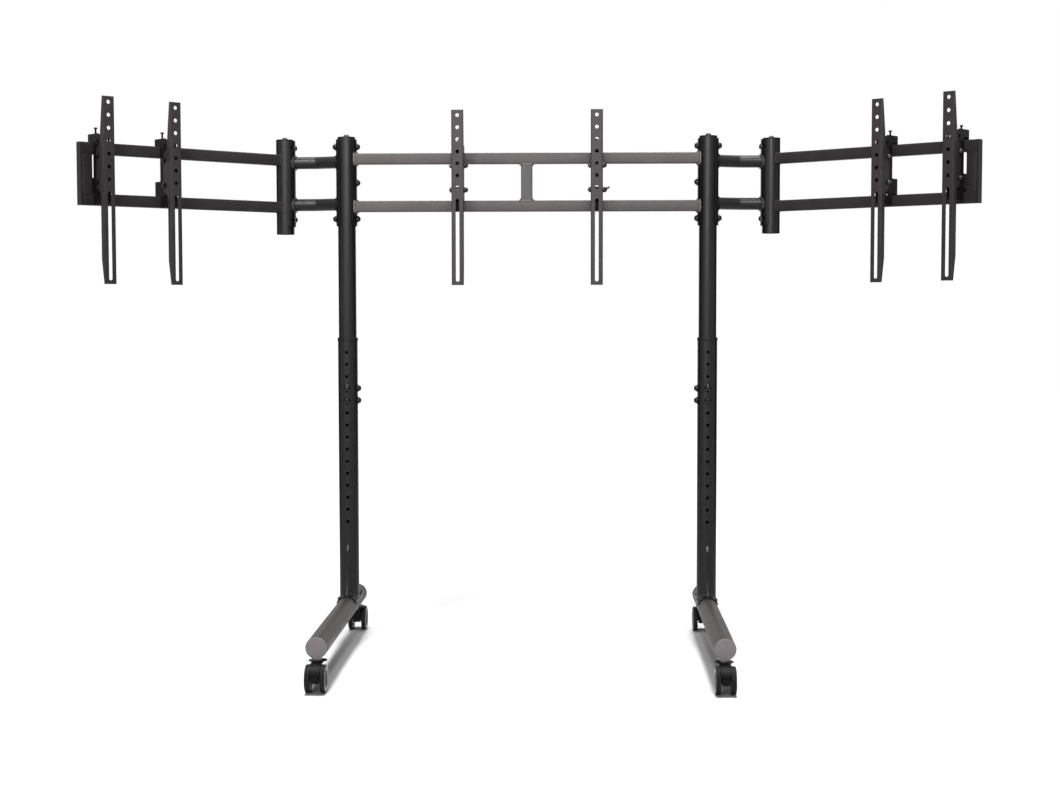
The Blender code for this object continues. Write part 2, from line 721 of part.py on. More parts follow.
def hook_bracket():
    """A hook bracket about the bars' middle plane, at the frame's height."""
    bar_front = BAR_DEPTH / 2 + BRACKET_GAP
    lip_back = bar_front + HOOK_BEHIND
    upper_rest = BAR_RISE + BAR_HEIGHT / 2 + BRACKET_GAP
    lower_rest = BAR_HEIGHT / 2 - BAR_RISE + BRACKET_GAP
    lock_rise = PIVOT_RISE - LOCK_DROP
    outline = [
        (bar_front, BRACKET_FOOT), (0.040, BRACKET_FOOT), (0.0485, lock_rise), (BRACKET_NOSE, 0.030),
        (BRACKET_NOSE, 0.047), (0.046, HOOK_TOP), (-lip_back, HOOK_TOP), (-lip_back, UPPER_HOOK_DROP),
        (-bar_front, UPPER_HOOK_DROP), (-bar_front, upper_rest), (bar_front, upper_rest),
        (bar_front, LOWER_HOOK_TOP), (-lip_back, LOWER_HOOK_TOP), (-lip_back, LOWER_HOOK_DROP),
        (-bar_front, LOWER_HOOK_DROP), (-bar_front, lower_rest), (bar_front, lower_rest)]
    sweep = math.degrees(math.asin(BOLT_HOLE_RADIUS / LOCK_DROP)) + TILT_DEGREES
    inner_arc = LOCK_DROP - BOLT_HOLE_RADIUS
    outer_arc = LOCK_DROP + BOLT_HOLE_RADIUS
    lock_slot = (
        arc(PIVOT_FORWARD, PIVOT_RISE, outer_arc, 270 - sweep, 270 + sweep, 3)
        + arc(PIVOT_FORWARD, PIVOT_RISE, inner_arc, 270 + sweep, 270 - sweep, 3))
    holes = [
        circle(PIVOT_FORWARD, PIVOT_RISE, BOLT_HOLE_RADIUS, BOLT_SIDES), lock_slot,
        circle(PEEP_FORWARD, UPPER_PEEP_RISE, PEEP_HOLE_RADIUS, HOLE_SIDES),
        circle(PEEP_FORWARD, LOWER_PEEP_RISE, PEEP_HOLE_RADIUS, HOLE_SIDES)]
    half = RAIL_WIDTH / 2 - RAIL_SHEET - BRACKET_GAP
    cheeks = []
    for side in (-1, 1):
        cheek = plate(outline, BRACKET_SHEET, holes)
        placed(cheek, turn("Z", -90) @ turn("X", 90))
        cheeks.append(shifted(cheek, x=side * (half - BRACKET_SHEET / 2)))
    inside = half - BRACKET_SHEET / 2
    upper_lip = box((-inside, bar_front, UPPER_HOOK_DROP), (inside, lip_back, HOOK_TOP))
    lower_lip = box((-inside, bar_front, LOWER_HOOK_DROP), (inside, lip_back, LOWER_HOOK_TOP))
    top_tab = box((-inside, -0.014, HOOK_TOP - BRACKET_SHEET), (inside, lip_back, HOOK_TOP))
    web_front = BRACKET_NOSE - 0.004
    front_web = box((-inside, -web_front, 0.006), (inside, BRACKET_SHEET - web_front, 0.050))
    screw_hole = pins([(0, 0, HOOK_TOP)], SCREW_HOLE_RADIUS, 6 * BRACKET_SHEET, BOLT_SIDES)
    return fused([*cheeks, upper_lip, lower_lip, top_tab, front_web], [screw_hole])


def pivot_bolt():
    """The bolt and nut that a rail tilts on, along X."""
    seat = RAIL_WIDTH / 2 + SLIDE_GAP
    crown = seat + BOLT_HEAD_HEIGHT
    end = -seat - NUT_HEIGHT - 0.001
    profile = [
        (0.0, crown), (BOLT_HEAD_RADIUS * 0.65, crown), (BOLT_HEAD_RADIUS, seat + BOLT_HEAD_HEIGHT * 0.3),
        (BOLT_HEAD_RADIUS, seat), (BOLT_RADIUS, seat), (BOLT_RADIUS, end), (0.0, end)]
    bolt = turned(profile, BOLT_SIDES)
    nut = pins([(0, 0, -seat - NUT_HEIGHT / 2)], NUT_RADIUS, NUT_HEIGHT, 6)
    return placed(fused([bolt, nut]), turn("Y", 90))


def levelling_screw():
    """A levelling screw, z = 0 at its tip."""
    head_low = SCREW_LENGTH - SCREW_HEAD_HEIGHT
    profile = [
        (0.0, SCREW_LENGTH), (SCREW_HEAD_RADIUS * 0.8, SCREW_LENGTH),
        (SCREW_HEAD_RADIUS, SCREW_LENGTH - 0.001), (SCREW_HEAD_RADIUS, head_low),
        (SCREW_RADIUS, head_low), (SCREW_RADIUS, 0.0), (0.0, 0.0)]
    return turned(profile, BOLT_SIDES)


# Assembly

RAIL_MESH = rail().data
BRACKET_MESH = hook_bracket().data
PIVOT_MESH = pivot_bolt().data
SCREW_MESH = levelling_screw().data
MOUNT_MESH = caster_mount().data
BODY_MESH = caster_body().data
WHEELS_MESH = caster_wheels().data


def hang_rail(name, along, lift, parent, look):
    """Bracket, rail, pivot bolt and levelling screw at one place on a pair of bars."""
    part(f"{name}_hook_bracket", BRACKET_MESH, coat, (along, 0, lift), 0, parent)
    pivot = (along, -PIVOT_FORWARD, PIVOT_RISE + lift)
    part(f"{name}_rail", RAIL_MESH, look, pivot, 0, parent)
    part(f"{name}_pivot_bolt", PIVOT_MESH, screw_steel, pivot, 0, parent)
    bar_top = BAR_RISE + BAR_HEIGHT / 2 + BRACKET_GAP
    part(f"{name}_levelling_screw", SCREW_MESH, screw_steel, (along, 0, bar_top), 0, parent)


def add_caster(name, stem, heading):
    """One caster; heading turns its trail, which is towards -Y at 0 degrees."""
    part(f"{name}_caster_mount", MOUNT_MESH, screw_steel, stem)
    swivel = empty(f"{name}_swivel", stem, heading)
    part(f"{name}_caster_body", BODY_MESH, plastic, (0, 0, 0), 0, swivel)
    part(f"{name}_caster_wheels", WHEELS_MESH, rubber, (0, -TRAIL, WHEEL_RADIUS), 0, swivel)


def add_side(name, side):
    """Post, foot, arm and wing of one side; side is its X sign."""
    post = (side * POST_X, POST_Y, 0)
    foot = (side * POST_X, POST_Y, FOOT_Z)
    part(f"{name}_lower_post", lower_post(-side), coat, post)
    part(f"{name}_post_collar", collar(), plastic, post)
    part(f"{name}_foot_tube", foot_tube(), coat_light, foot)
    cap = tube_cap(POST_RADIUS - 0.0003, POST_RADIUS - TUBE_WALL - SLIDE_GAP, FOOT_CAP_DISC)
    front_cap = placed(duplicate(cap), turn("X", 90))
    rear_cap = placed(cap, turn("X", -90))
    front_end = POST_Y - FOOT_FRONT + FOOT_CAP_DISC
    rear_end = POST_Y + FOOT_REAR - FOOT_CAP_DISC
    part(f"{name}_foot_cap_front", front_cap, cap_grey, (side * POST_X, front_end, FOOT_Z))
    part(f"{name}_foot_cap_rear", rear_cap, cap_grey, (side * POST_X, rear_end, FOOT_Z))
    add_caster(f"{name}_front", (side * POST_X, POST_Y - FOOT_FRONT + STEM_INSET, 0), 0)
    add_caster(f"{name}_rear", (side * POST_X, POST_Y + FOOT_REAR - STEM_INSET, 0), 180)

    part(f"{name}_upper_post", tube(INNER_RADIUS, TUBE_WALL, UPPER_POST_BOTTOM, UPPER_POST_TOP), coat, post)
    plug = INNER_RADIUS - TUBE_WALL - SLIDE_GAP
    post_cap = tube_cap(INNER_RADIUS, plug, CAP_DISC)
    part(f"{name}_post_cap", post_cap, plastic, (*post[:2], UPPER_POST_TOP))
    part(f"{name}_arm", arm(side), coat, (*post[:2], FRAME_Z))

    angle = -side * WING_REST_DEGREES[name]
    hinge = empty(
        f"{name}_wing_hinge", (side * (POST_X + HINGE_OUT), POST_Y + HINGE_BACK, FRAME_Z), angle)
    part(f"{name}_wing_frame", wing_frame(side), coat_light, parent=hinge)
    hinge_cap = tube_cap(INNER_RADIUS, plug, CAP_DISC)
    part(f"{name}_hinge_cap", hinge_cap, plastic, (0, 0, HINGE_TUBE_TOP - FRAME_Z), 0, hinge)
    part(f"{name}_wing_end_cap", wing_end_cap(side), plastic, parent=hinge)
    inner_place, inner_lift = INNER_BRACKETS[name]
    outer_place, outer_lift = OUTER_BRACKETS[name]
    hang_rail(f"{name}_inner", side * inner_place, inner_lift, hinge, coat)
    hang_rail(f"{name}_outer", side * (WING_LENGTH - outer_place), outer_lift, hinge, coat)


part("crossbar_frame", crossbar_frame(), coat_light, (0, POST_Y, FRAME_Z))
bars_middle = empty("centre_bars", (0, POST_Y - BAR_SET_FORWARD, FRAME_Z))
for bracket_name, (bracket_x, bracket_lift) in CENTRE_BRACKETS.items():
    hang_rail(bracket_name, bracket_x, bracket_lift, bars_middle, coat)
add_side("left", -1)
add_side("right", 1)
for leftover in list(WORKSHOP.objects):
    bpy.data.objects.remove(leftover, do_unlink=True)
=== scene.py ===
"""Looks of the triple monitor stand.

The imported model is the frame, and finer pieces at the same places stand for its solids. Metres, +Z up,
the user's side is -Y, and the origin is on the floor, midway between the posts.
"""

from math import acos, atan2, cos, degrees, hypot, pi, radians, sin, sqrt, tan, tau

import bmesh
import bpy
from bmesh.types import BMEdge, BMVert
from mathutils import Matrix, Vector


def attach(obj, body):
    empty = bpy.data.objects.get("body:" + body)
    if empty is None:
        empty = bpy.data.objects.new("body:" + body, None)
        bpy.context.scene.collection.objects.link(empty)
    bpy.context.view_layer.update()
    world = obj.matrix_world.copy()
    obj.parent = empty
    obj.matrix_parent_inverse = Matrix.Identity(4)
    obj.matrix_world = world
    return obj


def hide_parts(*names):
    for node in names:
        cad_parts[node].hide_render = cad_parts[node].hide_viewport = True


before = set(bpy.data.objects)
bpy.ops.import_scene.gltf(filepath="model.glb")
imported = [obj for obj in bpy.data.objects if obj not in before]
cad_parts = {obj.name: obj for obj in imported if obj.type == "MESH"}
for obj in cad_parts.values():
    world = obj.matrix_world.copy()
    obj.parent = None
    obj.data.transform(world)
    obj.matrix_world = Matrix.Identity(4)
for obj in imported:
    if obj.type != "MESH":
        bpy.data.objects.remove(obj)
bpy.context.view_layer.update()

# Heights
FRAME_Z = 1.143
LOWER_POST_TOP = 0.753
COLLAR_TOP = 0.762
UPPER_POST_BOTTOM = 0.579
UPPER_POST_TOP = 1.2525
HINGE_TUBE_BOTTOM = 1.018
HINGE_TUBE_TOP = 1.2495
FOOT_Z = 0.097

# Tubes and gaps
POST_RADIUS = 0.02415
INNER_RADIUS = 0.0218
TUBE_WALL = 0.002
GAP = 0.0003
HINGE_GAP = 0.0006
WELD_SINK = 0.001          # how far a welded piece reaches into its neighbour

# Plan
POST_X = 0.445
FOOT_FRONT = 0.552
FOOT_REAR = 0.155
POST_Y = (FOOT_FRONT - FOOT_REAR) / 2
HINGE_OUT = 0.158
HINGE_BACK = 0.034
SIDES = {"left": -1, "right": 1}

# Height holes, gusset and base
HOLE_COUNT = 15
HOLE_PITCH = 0.030
FIRST_HOLE_Z = 0.726
HOLE_HEIGHTS = [FIRST_HOLE_Z - HOLE_PITCH * row for row in range(HOLE_COUNT)]
HOLE_RADIUS = 0.0040
UPPER_HOLE_RADIUS = 0.0036
DRILL_LENGTH = 0.012
LOCK_ROWS = (3, 4)
GUSSET_TOP = 0.2468
GUSSET_THICKNESS = 0.004
GUSSET_REACH = 0.012
BASE_HALF_ANGLE = 72
BASE_HALF_LENGTH = 0.058
BASE_BOLT_ALONG = 0.040
BASE_BOLT_ANGLE = 46
FOOT_BOLT_BACK = 0.082

# Saddles, by the post and by the hinge tube
SADDLE_HEIGHT = 0.2125
SADDLE_WALL = 0.0035
SADDLE_CORNER = 0.008
POST_HALF_ANGLE = 48
HINGE_HALF_ANGLE = 72
SLOT_HALF_ANGLE = 54
SLOT_HEIGHT = 0.0075
SADDLE_BOLT_RISE = 0.0885
SADDLE_BOLTS = (SADDLE_BOLT_RISE, -SADDLE_BOLT_RISE)
HINGE_SCREW_ANGLE = 217.5
BASE_SHELL = POST_RADIUS + GAP + SADDLE_WALL        # the saddles' outer radii
POST_SHELL = INNER_RADIUS + GAP + SADDLE_WALL
HINGE_SHELL = INNER_RADIUS + HINGE_GAP + SADDLE_WALL

# Bars, strap and arms
BAR_HEIGHT = 0.027
BAR_DEPTH = 0.020
BAR_CORNER = 0.0032
BAR_RISE = 0.0582
BAR_FORWARD = 0.006
BAR_RISES = (BAR_RISE, -BAR_RISE)
BETWEEN_BARS = BAR_RISE - BAR_HEIGHT / 2
STRAP_WIDTH = 0.028
STRAP_CORNER = 0.0028
STRAP_SINK = 0.0005
ARM_RADIUS = 0.015
ARM_RISE = 0.052
ARM_START = (0.023, 0.0091)
ARM_BEND = (0.076, 0.030)
ARM_END = (HINGE_OUT - 0.0235, HINGE_BACK)
ARM_BEND_RADIUS = 0.045
ARM_POST_TURN = degrees(atan2(ARM_BEND[1], ARM_BEND[0])) * 0.92     # of the beads there
ARM_HINGE_TURN = 182.8

# Wings
WING_LENGTH = 0.559
WING_ANGLE = {"left": 43.6, "right": 39.9}
UPRIGHT_WIDTH = 0.027
END_CAP = 0.0025
WING_BAR_END = WING_LENGTH - END_CAP - GAP
TOP_CAP = 0.003
TOP_CAP_CROWN = 0.0004
CAP_PLUG = 0.012

# Screen rails
RAIL_WIDTH = 0.0295
RAIL_SHEET = 0.002
RAIL_FRONT = 0.062
RAIL_TOP = 0.1712
RAIL_LENGTH = 0.4235
RAIL_HOLE_PITCH = 0.0291

# Hook brackets
PIVOT_FORWARD = 0.035
PIVOT_RISE = 0.0385
LOCK_DROP = 0.059
BOLT_HOLE = 0.0034
# Name of the carrier, place along its bars, lift off them
BRACKET_PLACES = {
    "centre_left": ("upper_frame", -0.1665, 0.0),
    "centre_right": ("upper_frame", 0.1715, 0.0),
    "left_inner": ("left", -0.344, 0.0),
    "left_outer": ("left", -0.5155, 0.001),
    "right_inner": ("right", 0.330, 0.0035),
    "right_outer": ("right", 0.5115, 0.006),
}

# Screws: radius, height and socket radius of a button head, and how far it sinks into a round face
SADDLE_HEAD = (0.0080, 0.0069, 0.0026)
BASE_HEAD = (0.0062, 0.0040, 0.0022)
FOOT_HEAD = (0.0060, 0.0036, 0.0022)
POST_CAP_HEAD = (0.0078, 0.0060, 0.0028)
HINGE_CAP_HEAD = (0.0072, 0.0052, 0.0026)
SLOT_HEAD = (0.0068, 0.0040, 0.0024)
TILT_HEAD = (0.0067, 0.0088, 0.0022)
BASE_SINK = 0.0002
LOCK_SINK = 0.0003
SADDLE_SINK = 0.0004
CAP_HEAD_GAP = 0.0002
# Washers: radius, hole and thickness
SADDLE_WASHER = (0.0094, 0.0036, 0.0016)
TILT_WASHER = (0.0069, BOLT_HOLE, 0.0008)
# Nuts: radius, height and bore
TILT_NUT = (0.0064, 0.0050, 0.0029)
LEVELLING_NUT = (0.0052, 0.0035, 0.0026)
TILT_SEAT = RAIL_WIDTH / 2 + 0.0001
LEVER_TURN = -117

# Weld beads
BEAD_SPACING = 0.0025
GUSSET_BEAD_SPACING = 0.0022

# Casters
WHEEL_RADIUS = 0.031
WHEEL_SPACE = 0.0225
WHEEL_TREAD = 0.0110
INNER_FACE = WHEEL_SPACE / 2
OUTER_FACE = INNER_FACE + WHEEL_TREAD
RING_OUTER = 0.0282
RING_INNER = 0.0208
AXLE_RADIUS = 0.0034
STEM_INSET = 0.024
TRAIL = 0.028
COVER_PLATE = (0.0210, 0.0040, 0.0015)
COVER_PLATE_Z = 0.0653

# How finely round shapes are cut, and how wide sharp edges are rounded
FINE_ROUND = 64
ROUND = 48
SMALL_ROUND = 24
ARM_SIDES = 40
SHARP_ANGLE = radians(35)
HOOD_EDGE = 0.0006
SHELL_EDGE = 0.0005
TUBE_EDGE = 0.0004
SHEET_EDGE = 0.0003


# Finishes, each with its grain in real sizes

GRAIN_SHARE = 0.35         # of a finish's tones, the rest being soft patches
SHEEN_SPREAD = 0.06


def shade(colour):
    """A colour seen on screen, 0 to 255, as the shader wants it."""
    shares = [channel / 255 for channel in colour]
    return (*[c / 12.92 if c <= 0.04045 else ((c + 0.055) / 1.055) ** 2.4 for c in shares], 1.0)


def feed(shader, values):
    """Sets a shader node's inputs, each to a value or to another node's output."""
    for name, value in values.items():
        socket = shader.inputs[name]
        if isinstance(value, bpy.types.NodeSocket):
            shader.id_data.links.new(value, socket)
        else:
            socket.default_value = value


def node(nodes, kind, values, **settings):
    """A new shader node with its settings and inputs."""
    made = nodes.new("ShaderNode" + kind)
    for name, value in settings.items():
        setattr(made, name, value)
    feed(made, values)
    return made


def blank_finish(name):
    finish = bpy.data.materials.new(name)
    finish.use_nodes = True
    return finish, finish.node_tree.nodes


def surface(name, dark, light, roughness, specular, metallic=0.0, grain=900, depth=0.00002):
    """A finish: two tones in soft patches, a fine grain that roughens and dents it."""
    finish, nodes = blank_finish(name)
    place = node(nodes, "TexCoord", {}).outputs["Object"]
    patches = node(nodes, "TexNoise", {"Vector": place, "Scale": 14, "Detail": 4}).outputs["Fac"]
    grains = node(nodes, "TexNoise", {"Vector": place, "Scale": grain, "Detail": 3, "Roughness": 0.6})
    fine = grains.outputs["Fac"]
    soft = node(nodes, "Math", {0: patches, 1: 1 - GRAIN_SHARE}, operation="MULTIPLY").outputs[0]
    mixed = node(nodes, "Math", {0: fine, 1: GRAIN_SHARE, 2: soft}, operation="MULTIPLY_ADD").outputs[0]
    tones = node(nodes, "ValToRGB", {"Fac": mixed})
    for stop, position, colour in zip(tones.color_ramp.elements, (0.35, 0.65), (dark, light)):
        stop.position = position
        stop.color = shade(colour)
    sheen = node(nodes, "MapRange", {
        "Value": mixed, "From Min": 0.3, "From Max": 0.7,
        "To Min": roughness - SHEEN_SPREAD, "To Max": roughness + SHEEN_SPREAD})
    dents = node(nodes, "Bump", {"Strength": 0.4, "Distance": depth, "Height": fine})
    feed(nodes["Principled BSDF"], {
        "Base Color": tones.outputs["Color"], "Roughness": sheen.outputs["Result"],
        "Normal": dents.outputs["Normal"], "Metallic": metallic, "Specular IOR Level": specular})
    return finish


# Name, darker and lighter tone, roughness, specular level
# These powder coats are one paint in lit and shaded copies. The crossbar, centre rails and feet carry painted
# light, and the posts, arms, wings, wing rails and brackets carry painted shade, according to how each part
# faces the lamps.
coat_bars = surface("powder_coat_bars", (72, 67, 68), (84, 78, 79), 0.45, 0.16)
coat_posts_painted_shade = surface("powder_coat_posts_painted_shade", (10, 9, 9), (16, 15, 15), 0.40, 0.26)
coat_arms_painted_shade = surface("powder_coat_arms_painted_shade", (10, 10, 10), (16, 15, 15), 0.36, 0.26)
coat_wings_painted_shade = surface("powder_coat_wings_painted_shade", (38, 35, 36), (46, 43, 44), 0.45, 0.14)
coat_rails_painted_light = surface("powder_coat_rails_painted_light", (50, 47, 48), (60, 56, 57), 0.45, 0.16)
coat_wing_rails_painted_shade = surface("powder_coat_wing_rails_painted_shade", (44, 41, 42), (53, 49, 50), 0.45, 0.16)
coat_brackets_painted_shade = surface("powder_coat_brackets_painted_shade", (18, 17, 18), (25, 23, 24), 0.50, 0.09)
coat_feet_painted_light = surface("powder_coat_feet_painted_light", (46, 42, 41), (56, 51, 50), 0.48, 0.16)
# The weld beads are the same paint. Their darker tone is painted shade, and the lighter tone on the crossbar
# is painted light.
weld_coat_painted_shade = surface("coated_weld_bead_painted_shade", (22, 21, 21), (38, 36, 36), 0.30, 0.55, grain=420, depth=0.0001)
weld_bars_painted_light = surface("coated_weld_on_bars_painted_light", (80, 75, 75), (100, 94, 94), 0.36, 0.35, grain=420, depth=0.0001)
cap_grey = surface("moulded_grey_cap", (142, 134, 137), (156, 148, 151), 0.55, 0.2, grain=1400)
black_plastic = surface("black_moulded_plastic", (18, 18, 18), (25, 25, 25), 0.45, 0.15, grain=1500)
black_oxide = surface("black_oxide_steel", (9, 9, 9), (16, 15, 16), 0.16, 0.30, grain=2200, depth=0.00001)
screw_black = surface(
    "blackened_screw_thread", (12, 12, 12), (20, 19, 19), 0.36, 0.12, grain=2200, depth=0.00001)
hood_plastic = surface("caster_hood_plastic", (14, 13, 13), (20, 19, 19), 0.50, 0.10, grain=1300)
tyre_rubber = surface("caster_tread_rubber", (24, 23, 23), (34, 33, 33), 0.60, 0.13, grain=1100)
wheel_grey = surface("caster_wheel_ring", (152, 150, 149), (170, 168, 167), 0.5, 0.2, grain=1300)
collar_steel = surface(
    "stem_collar_steel", (150, 144, 146), (172, 166, 168), 0.34, 0.4, metallic=0.2, grain=1800)


# Places

def turn(axis, angle):
    return Matrix.Rotation(radians(angle), 4, axis)


def move(x=0.0, y=0.0, z=0.0):
    return Matrix.Translation((x, y, z))


def flip(x=1, y=1, z=1):
    return Matrix.Diagonal((x, y, z, 1))


ON_EDGE = turn("Z", -90) @ turn("X", 90)     # stands a plate up, its x towards -Y and its y upwards
POST = {side: move(sign * POST_X, POST_Y) for side, sign in SIDES.items()}
WING = {}
for side, sign in SIDES.items():
    hinge = move(sign * (POST_X + HINGE_OUT), POST_Y + HINGE_BACK, FRAME_Z)
    WING[side] = hinge @ turn("Z", -sign * WING_ANGLE[side])


# Shapes

def only(kind, geometry):
    return [item for item in geometry if isinstance(item, kind)]


def placed(shape, matrix):
    bmesh.ops.transform(shape, matrix=matrix, verts=shape.verts[:])
    if matrix.determinant() < 0:
        bmesh.ops.reverse_faces(shape, faces=shape.faces[:])
    return shape


def together(*shapes):
    """Several shapes as one, each used up."""
    whole = shapes[0]
    for shape in shapes[1:]:
        lent = bpy.data.meshes.new("lent")
        shape.to_mesh(lent)
        shape.free()
        whole.from_mesh(lent)
        bpy.data.meshes.remove(lent)
    return whole


def set_at(shape, seats):
    """A copy of a shape at each seat, as one shape. The shape is used up."""
    whole = together(*[placed(shape.copy(), seat) for seat in seats])
    shape.free()
    return whole


def spun(profile, sides=ROUND, closed=False):
    """A profile of (radius, height) spun round Z."""
    shape = bmesh.new()
    verts = [shape.verts.new((radius, 0, height)) for radius, height in profile]
    pairs = list(zip(verts, verts[1:]))
    if closed:
        pairs.append((verts[-1], verts[0]))
    edges = [shape.edges.new(pair) for pair in pairs]
    bmesh.ops.spin(
        shape, geom=verts + edges, cent=(0, 0, 0), axis=(0, 0, 1), dvec=(0, 0, 0), angle=tau,
        steps=sides, use_merge=True, use_duplicate=False)
    bmesh.ops.remove_doubles(shape, verts=shape.verts[:], dist=0.000001)
    bmesh.ops.recalc_face_normals(shape, faces=shape.faces[:])
    return shape


def pipe(radius, bottom, top, sides=ROUND):
    inner = radius - TUBE_WALL
    return spun([(radius, top), (radius, bottom), (inner, bottom), (inner, top)], sides, closed=True)


def pins(places, radius, length, sides, matrix=Matrix.Identity(4)):
    """Equal round bars in one shape, along Z unless the matrix turns each about its middle."""
    shape = bmesh.new()
    for place in places:
        bmesh.ops.create_cone(
            shape, cap_ends=True, cap_tris=False, segments=sides, radius1=radius, radius2=radius,
            depth=length, matrix=move(*place) @ matrix)
    return shape


def block(low, high):
    shape = bmesh.new()
    bmesh.ops.create_cube(shape, size=1)
    low = Vector(low)
    high = Vector(high)
    bmesh.ops.scale(shape, vec=high - low, verts=shape.verts[:])
    bmesh.ops.translate(shape, vec=(low + high) / 2, verts=shape.verts[:])
    return shape


def softened(shape, width, segments=2, along=None):
    """Rounds a shape's edges, or only those that run along one axis."""
    edges = shape.edges[:]
    if along:
        axis = Vector(along)
        edges = [edge for edge in edges
                 if abs((edge.verts[1].co - edge.verts[0].co).normalized().dot(axis)) > 0.99]
    bmesh.ops.bevel(
        shape, geom=edges, affect="EDGES", offset=width, segments=segments, profile=0.5, material=-1)
    return shape


def arc(x, y, radius, start, end, steps):
    angles = [radians(start + (end - start) * step / steps) for step in range(steps + 1)]
    return [(x + radius * cos(angle), y + radius * sin(angle)) for angle in angles]


def circle(x, y, radius, sides=SMALL_ROUND):
    return arc(x, y, radius, 0, 360 - 360 / sides, sides - 1)


def rounded_rectangle(half_x, half_y, corner, steps=6):
    points = []
    for sign_x, sign_y, start in ((1, 1, 0), (-1, 1, 90), (-1, -1, 180), (1, -1, 270)):
        x = sign_x * (half_x - corner)
        y = sign_y * (half_y - corner)
        points += arc(x, y, corner, start, start + 90, steps)
    return points


def rounded_corners(corners):
    """An outline from corners of (x, y, radius)."""
    steps = 4
    points = []
    for index, (x, y, radius) in enumerate(corners):
        here = Vector((x, y))
        back = Vector(corners[index - 1][:2]) - here
        ahead = Vector(corners[(index + 1) % len(corners)][:2]) - here
        reach = min(radius / tan(back.angle(ahead) / 2), back.length * 0.45, ahead.length * 0.45)
        if radius == 0 or reach < 0.00005:
            points.append(tuple(here))
            continue
        start = here + back.normalized() * reach
        end = here + ahead.normalized() * reach
        for step in range(steps + 1):
            t = step / steps
            bent = start.lerp(here, t).lerp(here.lerp(end, t), t)
            points.append(tuple(bent))
    return points


def sheet(outline, holes=()):
    """A flat skin with holes, in the plane z = 0 and facing up."""
    shape = bmesh.new()
    for loop in (outline, *holes):
        verts = [shape.verts.new((x, y, 0)) for x, y in loop]
        for pair in zip(verts, verts[1:] + verts[:1]):
            shape.edges.new(pair)
    bmesh.ops.triangle_fill(
        shape, use_beauty=True, use_dissolve=False, edges=shape.edges[:], normal=(0, 0, 1))
    return shape


def thickened(shape, thickness):
    """Gives a skin its wall, on the side away from where it faces."""
    bmesh.ops.solidify(shape, geom=shape.faces[:], thickness=thickness)
    return shape


def plate(outline, thickness, holes=()):
    """A flat plate, its thickness centred on z = 0."""
    return placed(thickened(sheet(outline, holes), thickness), move(z=thickness / 2))


def rolled_sheet(half_angle, height, radius, slot_rises=()):
    """A rounded sheet with slots, rolled about Z to that outer radius, its middle facing +X."""
    half_width = radians(half_angle) * radius
    slot_end = SLOT_HEIGHT / 2
    reach = radians(SLOT_HALF_ANGLE) * radius - slot_end
    holes = [arc(reach, rise, slot_end, -90, 90, 6) + arc(-reach, rise, slot_end, 90, 270, 6)
             for rise in slot_rises]
    shape = sheet(rounded_rectangle(half_width, height / 2, SADDLE_CORNER), holes)
    step = radians(6)
    folds = int(radians(half_angle) / step)
    for fold in range(-folds, folds + 1):
        bmesh.ops.bisect_plane(
            shape, geom=shape.verts[:] + shape.edges[:] + shape.faces[:], dist=0.0000001,
            plane_co=(fold * step * radius, 0, 0), plane_no=(1, 0, 0))
    for vert in shape.verts:
        angle = vert.co.x / radius
        vert.co = (radius * cos(angle), radius * sin(angle), vert.co.y)
    shape.normal_update()
    return thickened(shape, SADDLE_WALL)


def swept(path, radius, sides, closed=False, swell=lambda share: 1):
    """A round bar along a path, its radius times swell(share of the path)."""
    points = [Vector(point) for point in path]
    count = len(points)
    frames = []
    side = None
    for index, point in enumerate(points):
        low = index - 1 if closed else max(index - 1, 0)
        high = (index + 1) % count if closed else min(index + 1, count - 1)
        tangent = (points[high] - points[low]).normalized()
        if side is None:
            side = tangent.orthogonal().normalized()
        side = (side - tangent * side.dot(tangent)).normalized()
        axes = Matrix((side, tangent.cross(side), tangent)).transposed().to_4x4()
        frames.append(move(*point) @ axes @ Matrix.Scale(radius * swell(index / count), 4))
    shape = bmesh.new()
    bmesh.ops.create_circle(shape, cap_ends=False, segments=sides, radius=1, matrix=frames[0])
    ring = shape.edges[:]
    first = list(ring)
    for before, after in zip(frames, frames[1:]):
        grown = bmesh.ops.extrude_edge_only(shape, edges=ring)["geom"]
        ring = only(BMEdge, grown)
        bmesh.ops.transform(shape, matrix=after @ before.inverted(), verts=only(BMVert, grown))
    if closed:
        bmesh.ops.bridge_loops(shape, edges=first + ring)
    else:
        bmesh.ops.holes_fill(shape, edges=shape.edges[:], sides=0)
    bmesh.ops.recalc_face_normals(shape, faces=shape.faces[:])
    return shape


def added(name, data):
    """A new object in the scene."""
    obj = bpy.data.objects.new(name, data)
    bpy.context.scene.collection.objects.link(obj)
    return obj


def object_of(shape, name, finish=None):
    """An object from a shape, which is used up."""
    mesh = bpy.data.meshes.new(name)
    shape.to_mesh(mesh)
    shape.free()
    if finish:
        mesh.materials.append(finish)
    return added(name, mesh)


def cut(shape, *cutters):
    """The shape less the cutters, all of them used up."""
    blank = object_of(shape, "blank")
    tools = [object_of(cutter, "tool") for cutter in cutters]
    for tool in tools:
        saw = blank.modifiers.new("saw", "BOOLEAN")
        saw.operation = "DIFFERENCE"
        saw.solver = "EXACT"
        saw.object = tool
    graph = bpy.context.evaluated_depsgraph_get()
    mesh = bpy.data.meshes.new_from_object(blank.evaluated_get(graph), depsgraph=graph)
    finished = bmesh.new()
    finished.from_mesh(mesh)
    bmesh.ops.remove_doubles(finished, verts=finished.verts[:], dist=0.0000005)
    for used in (blank, *tools):
        bpy.data.meshes.remove(used.data)
    bpy.data.meshes.remove(mesh)
    return finished


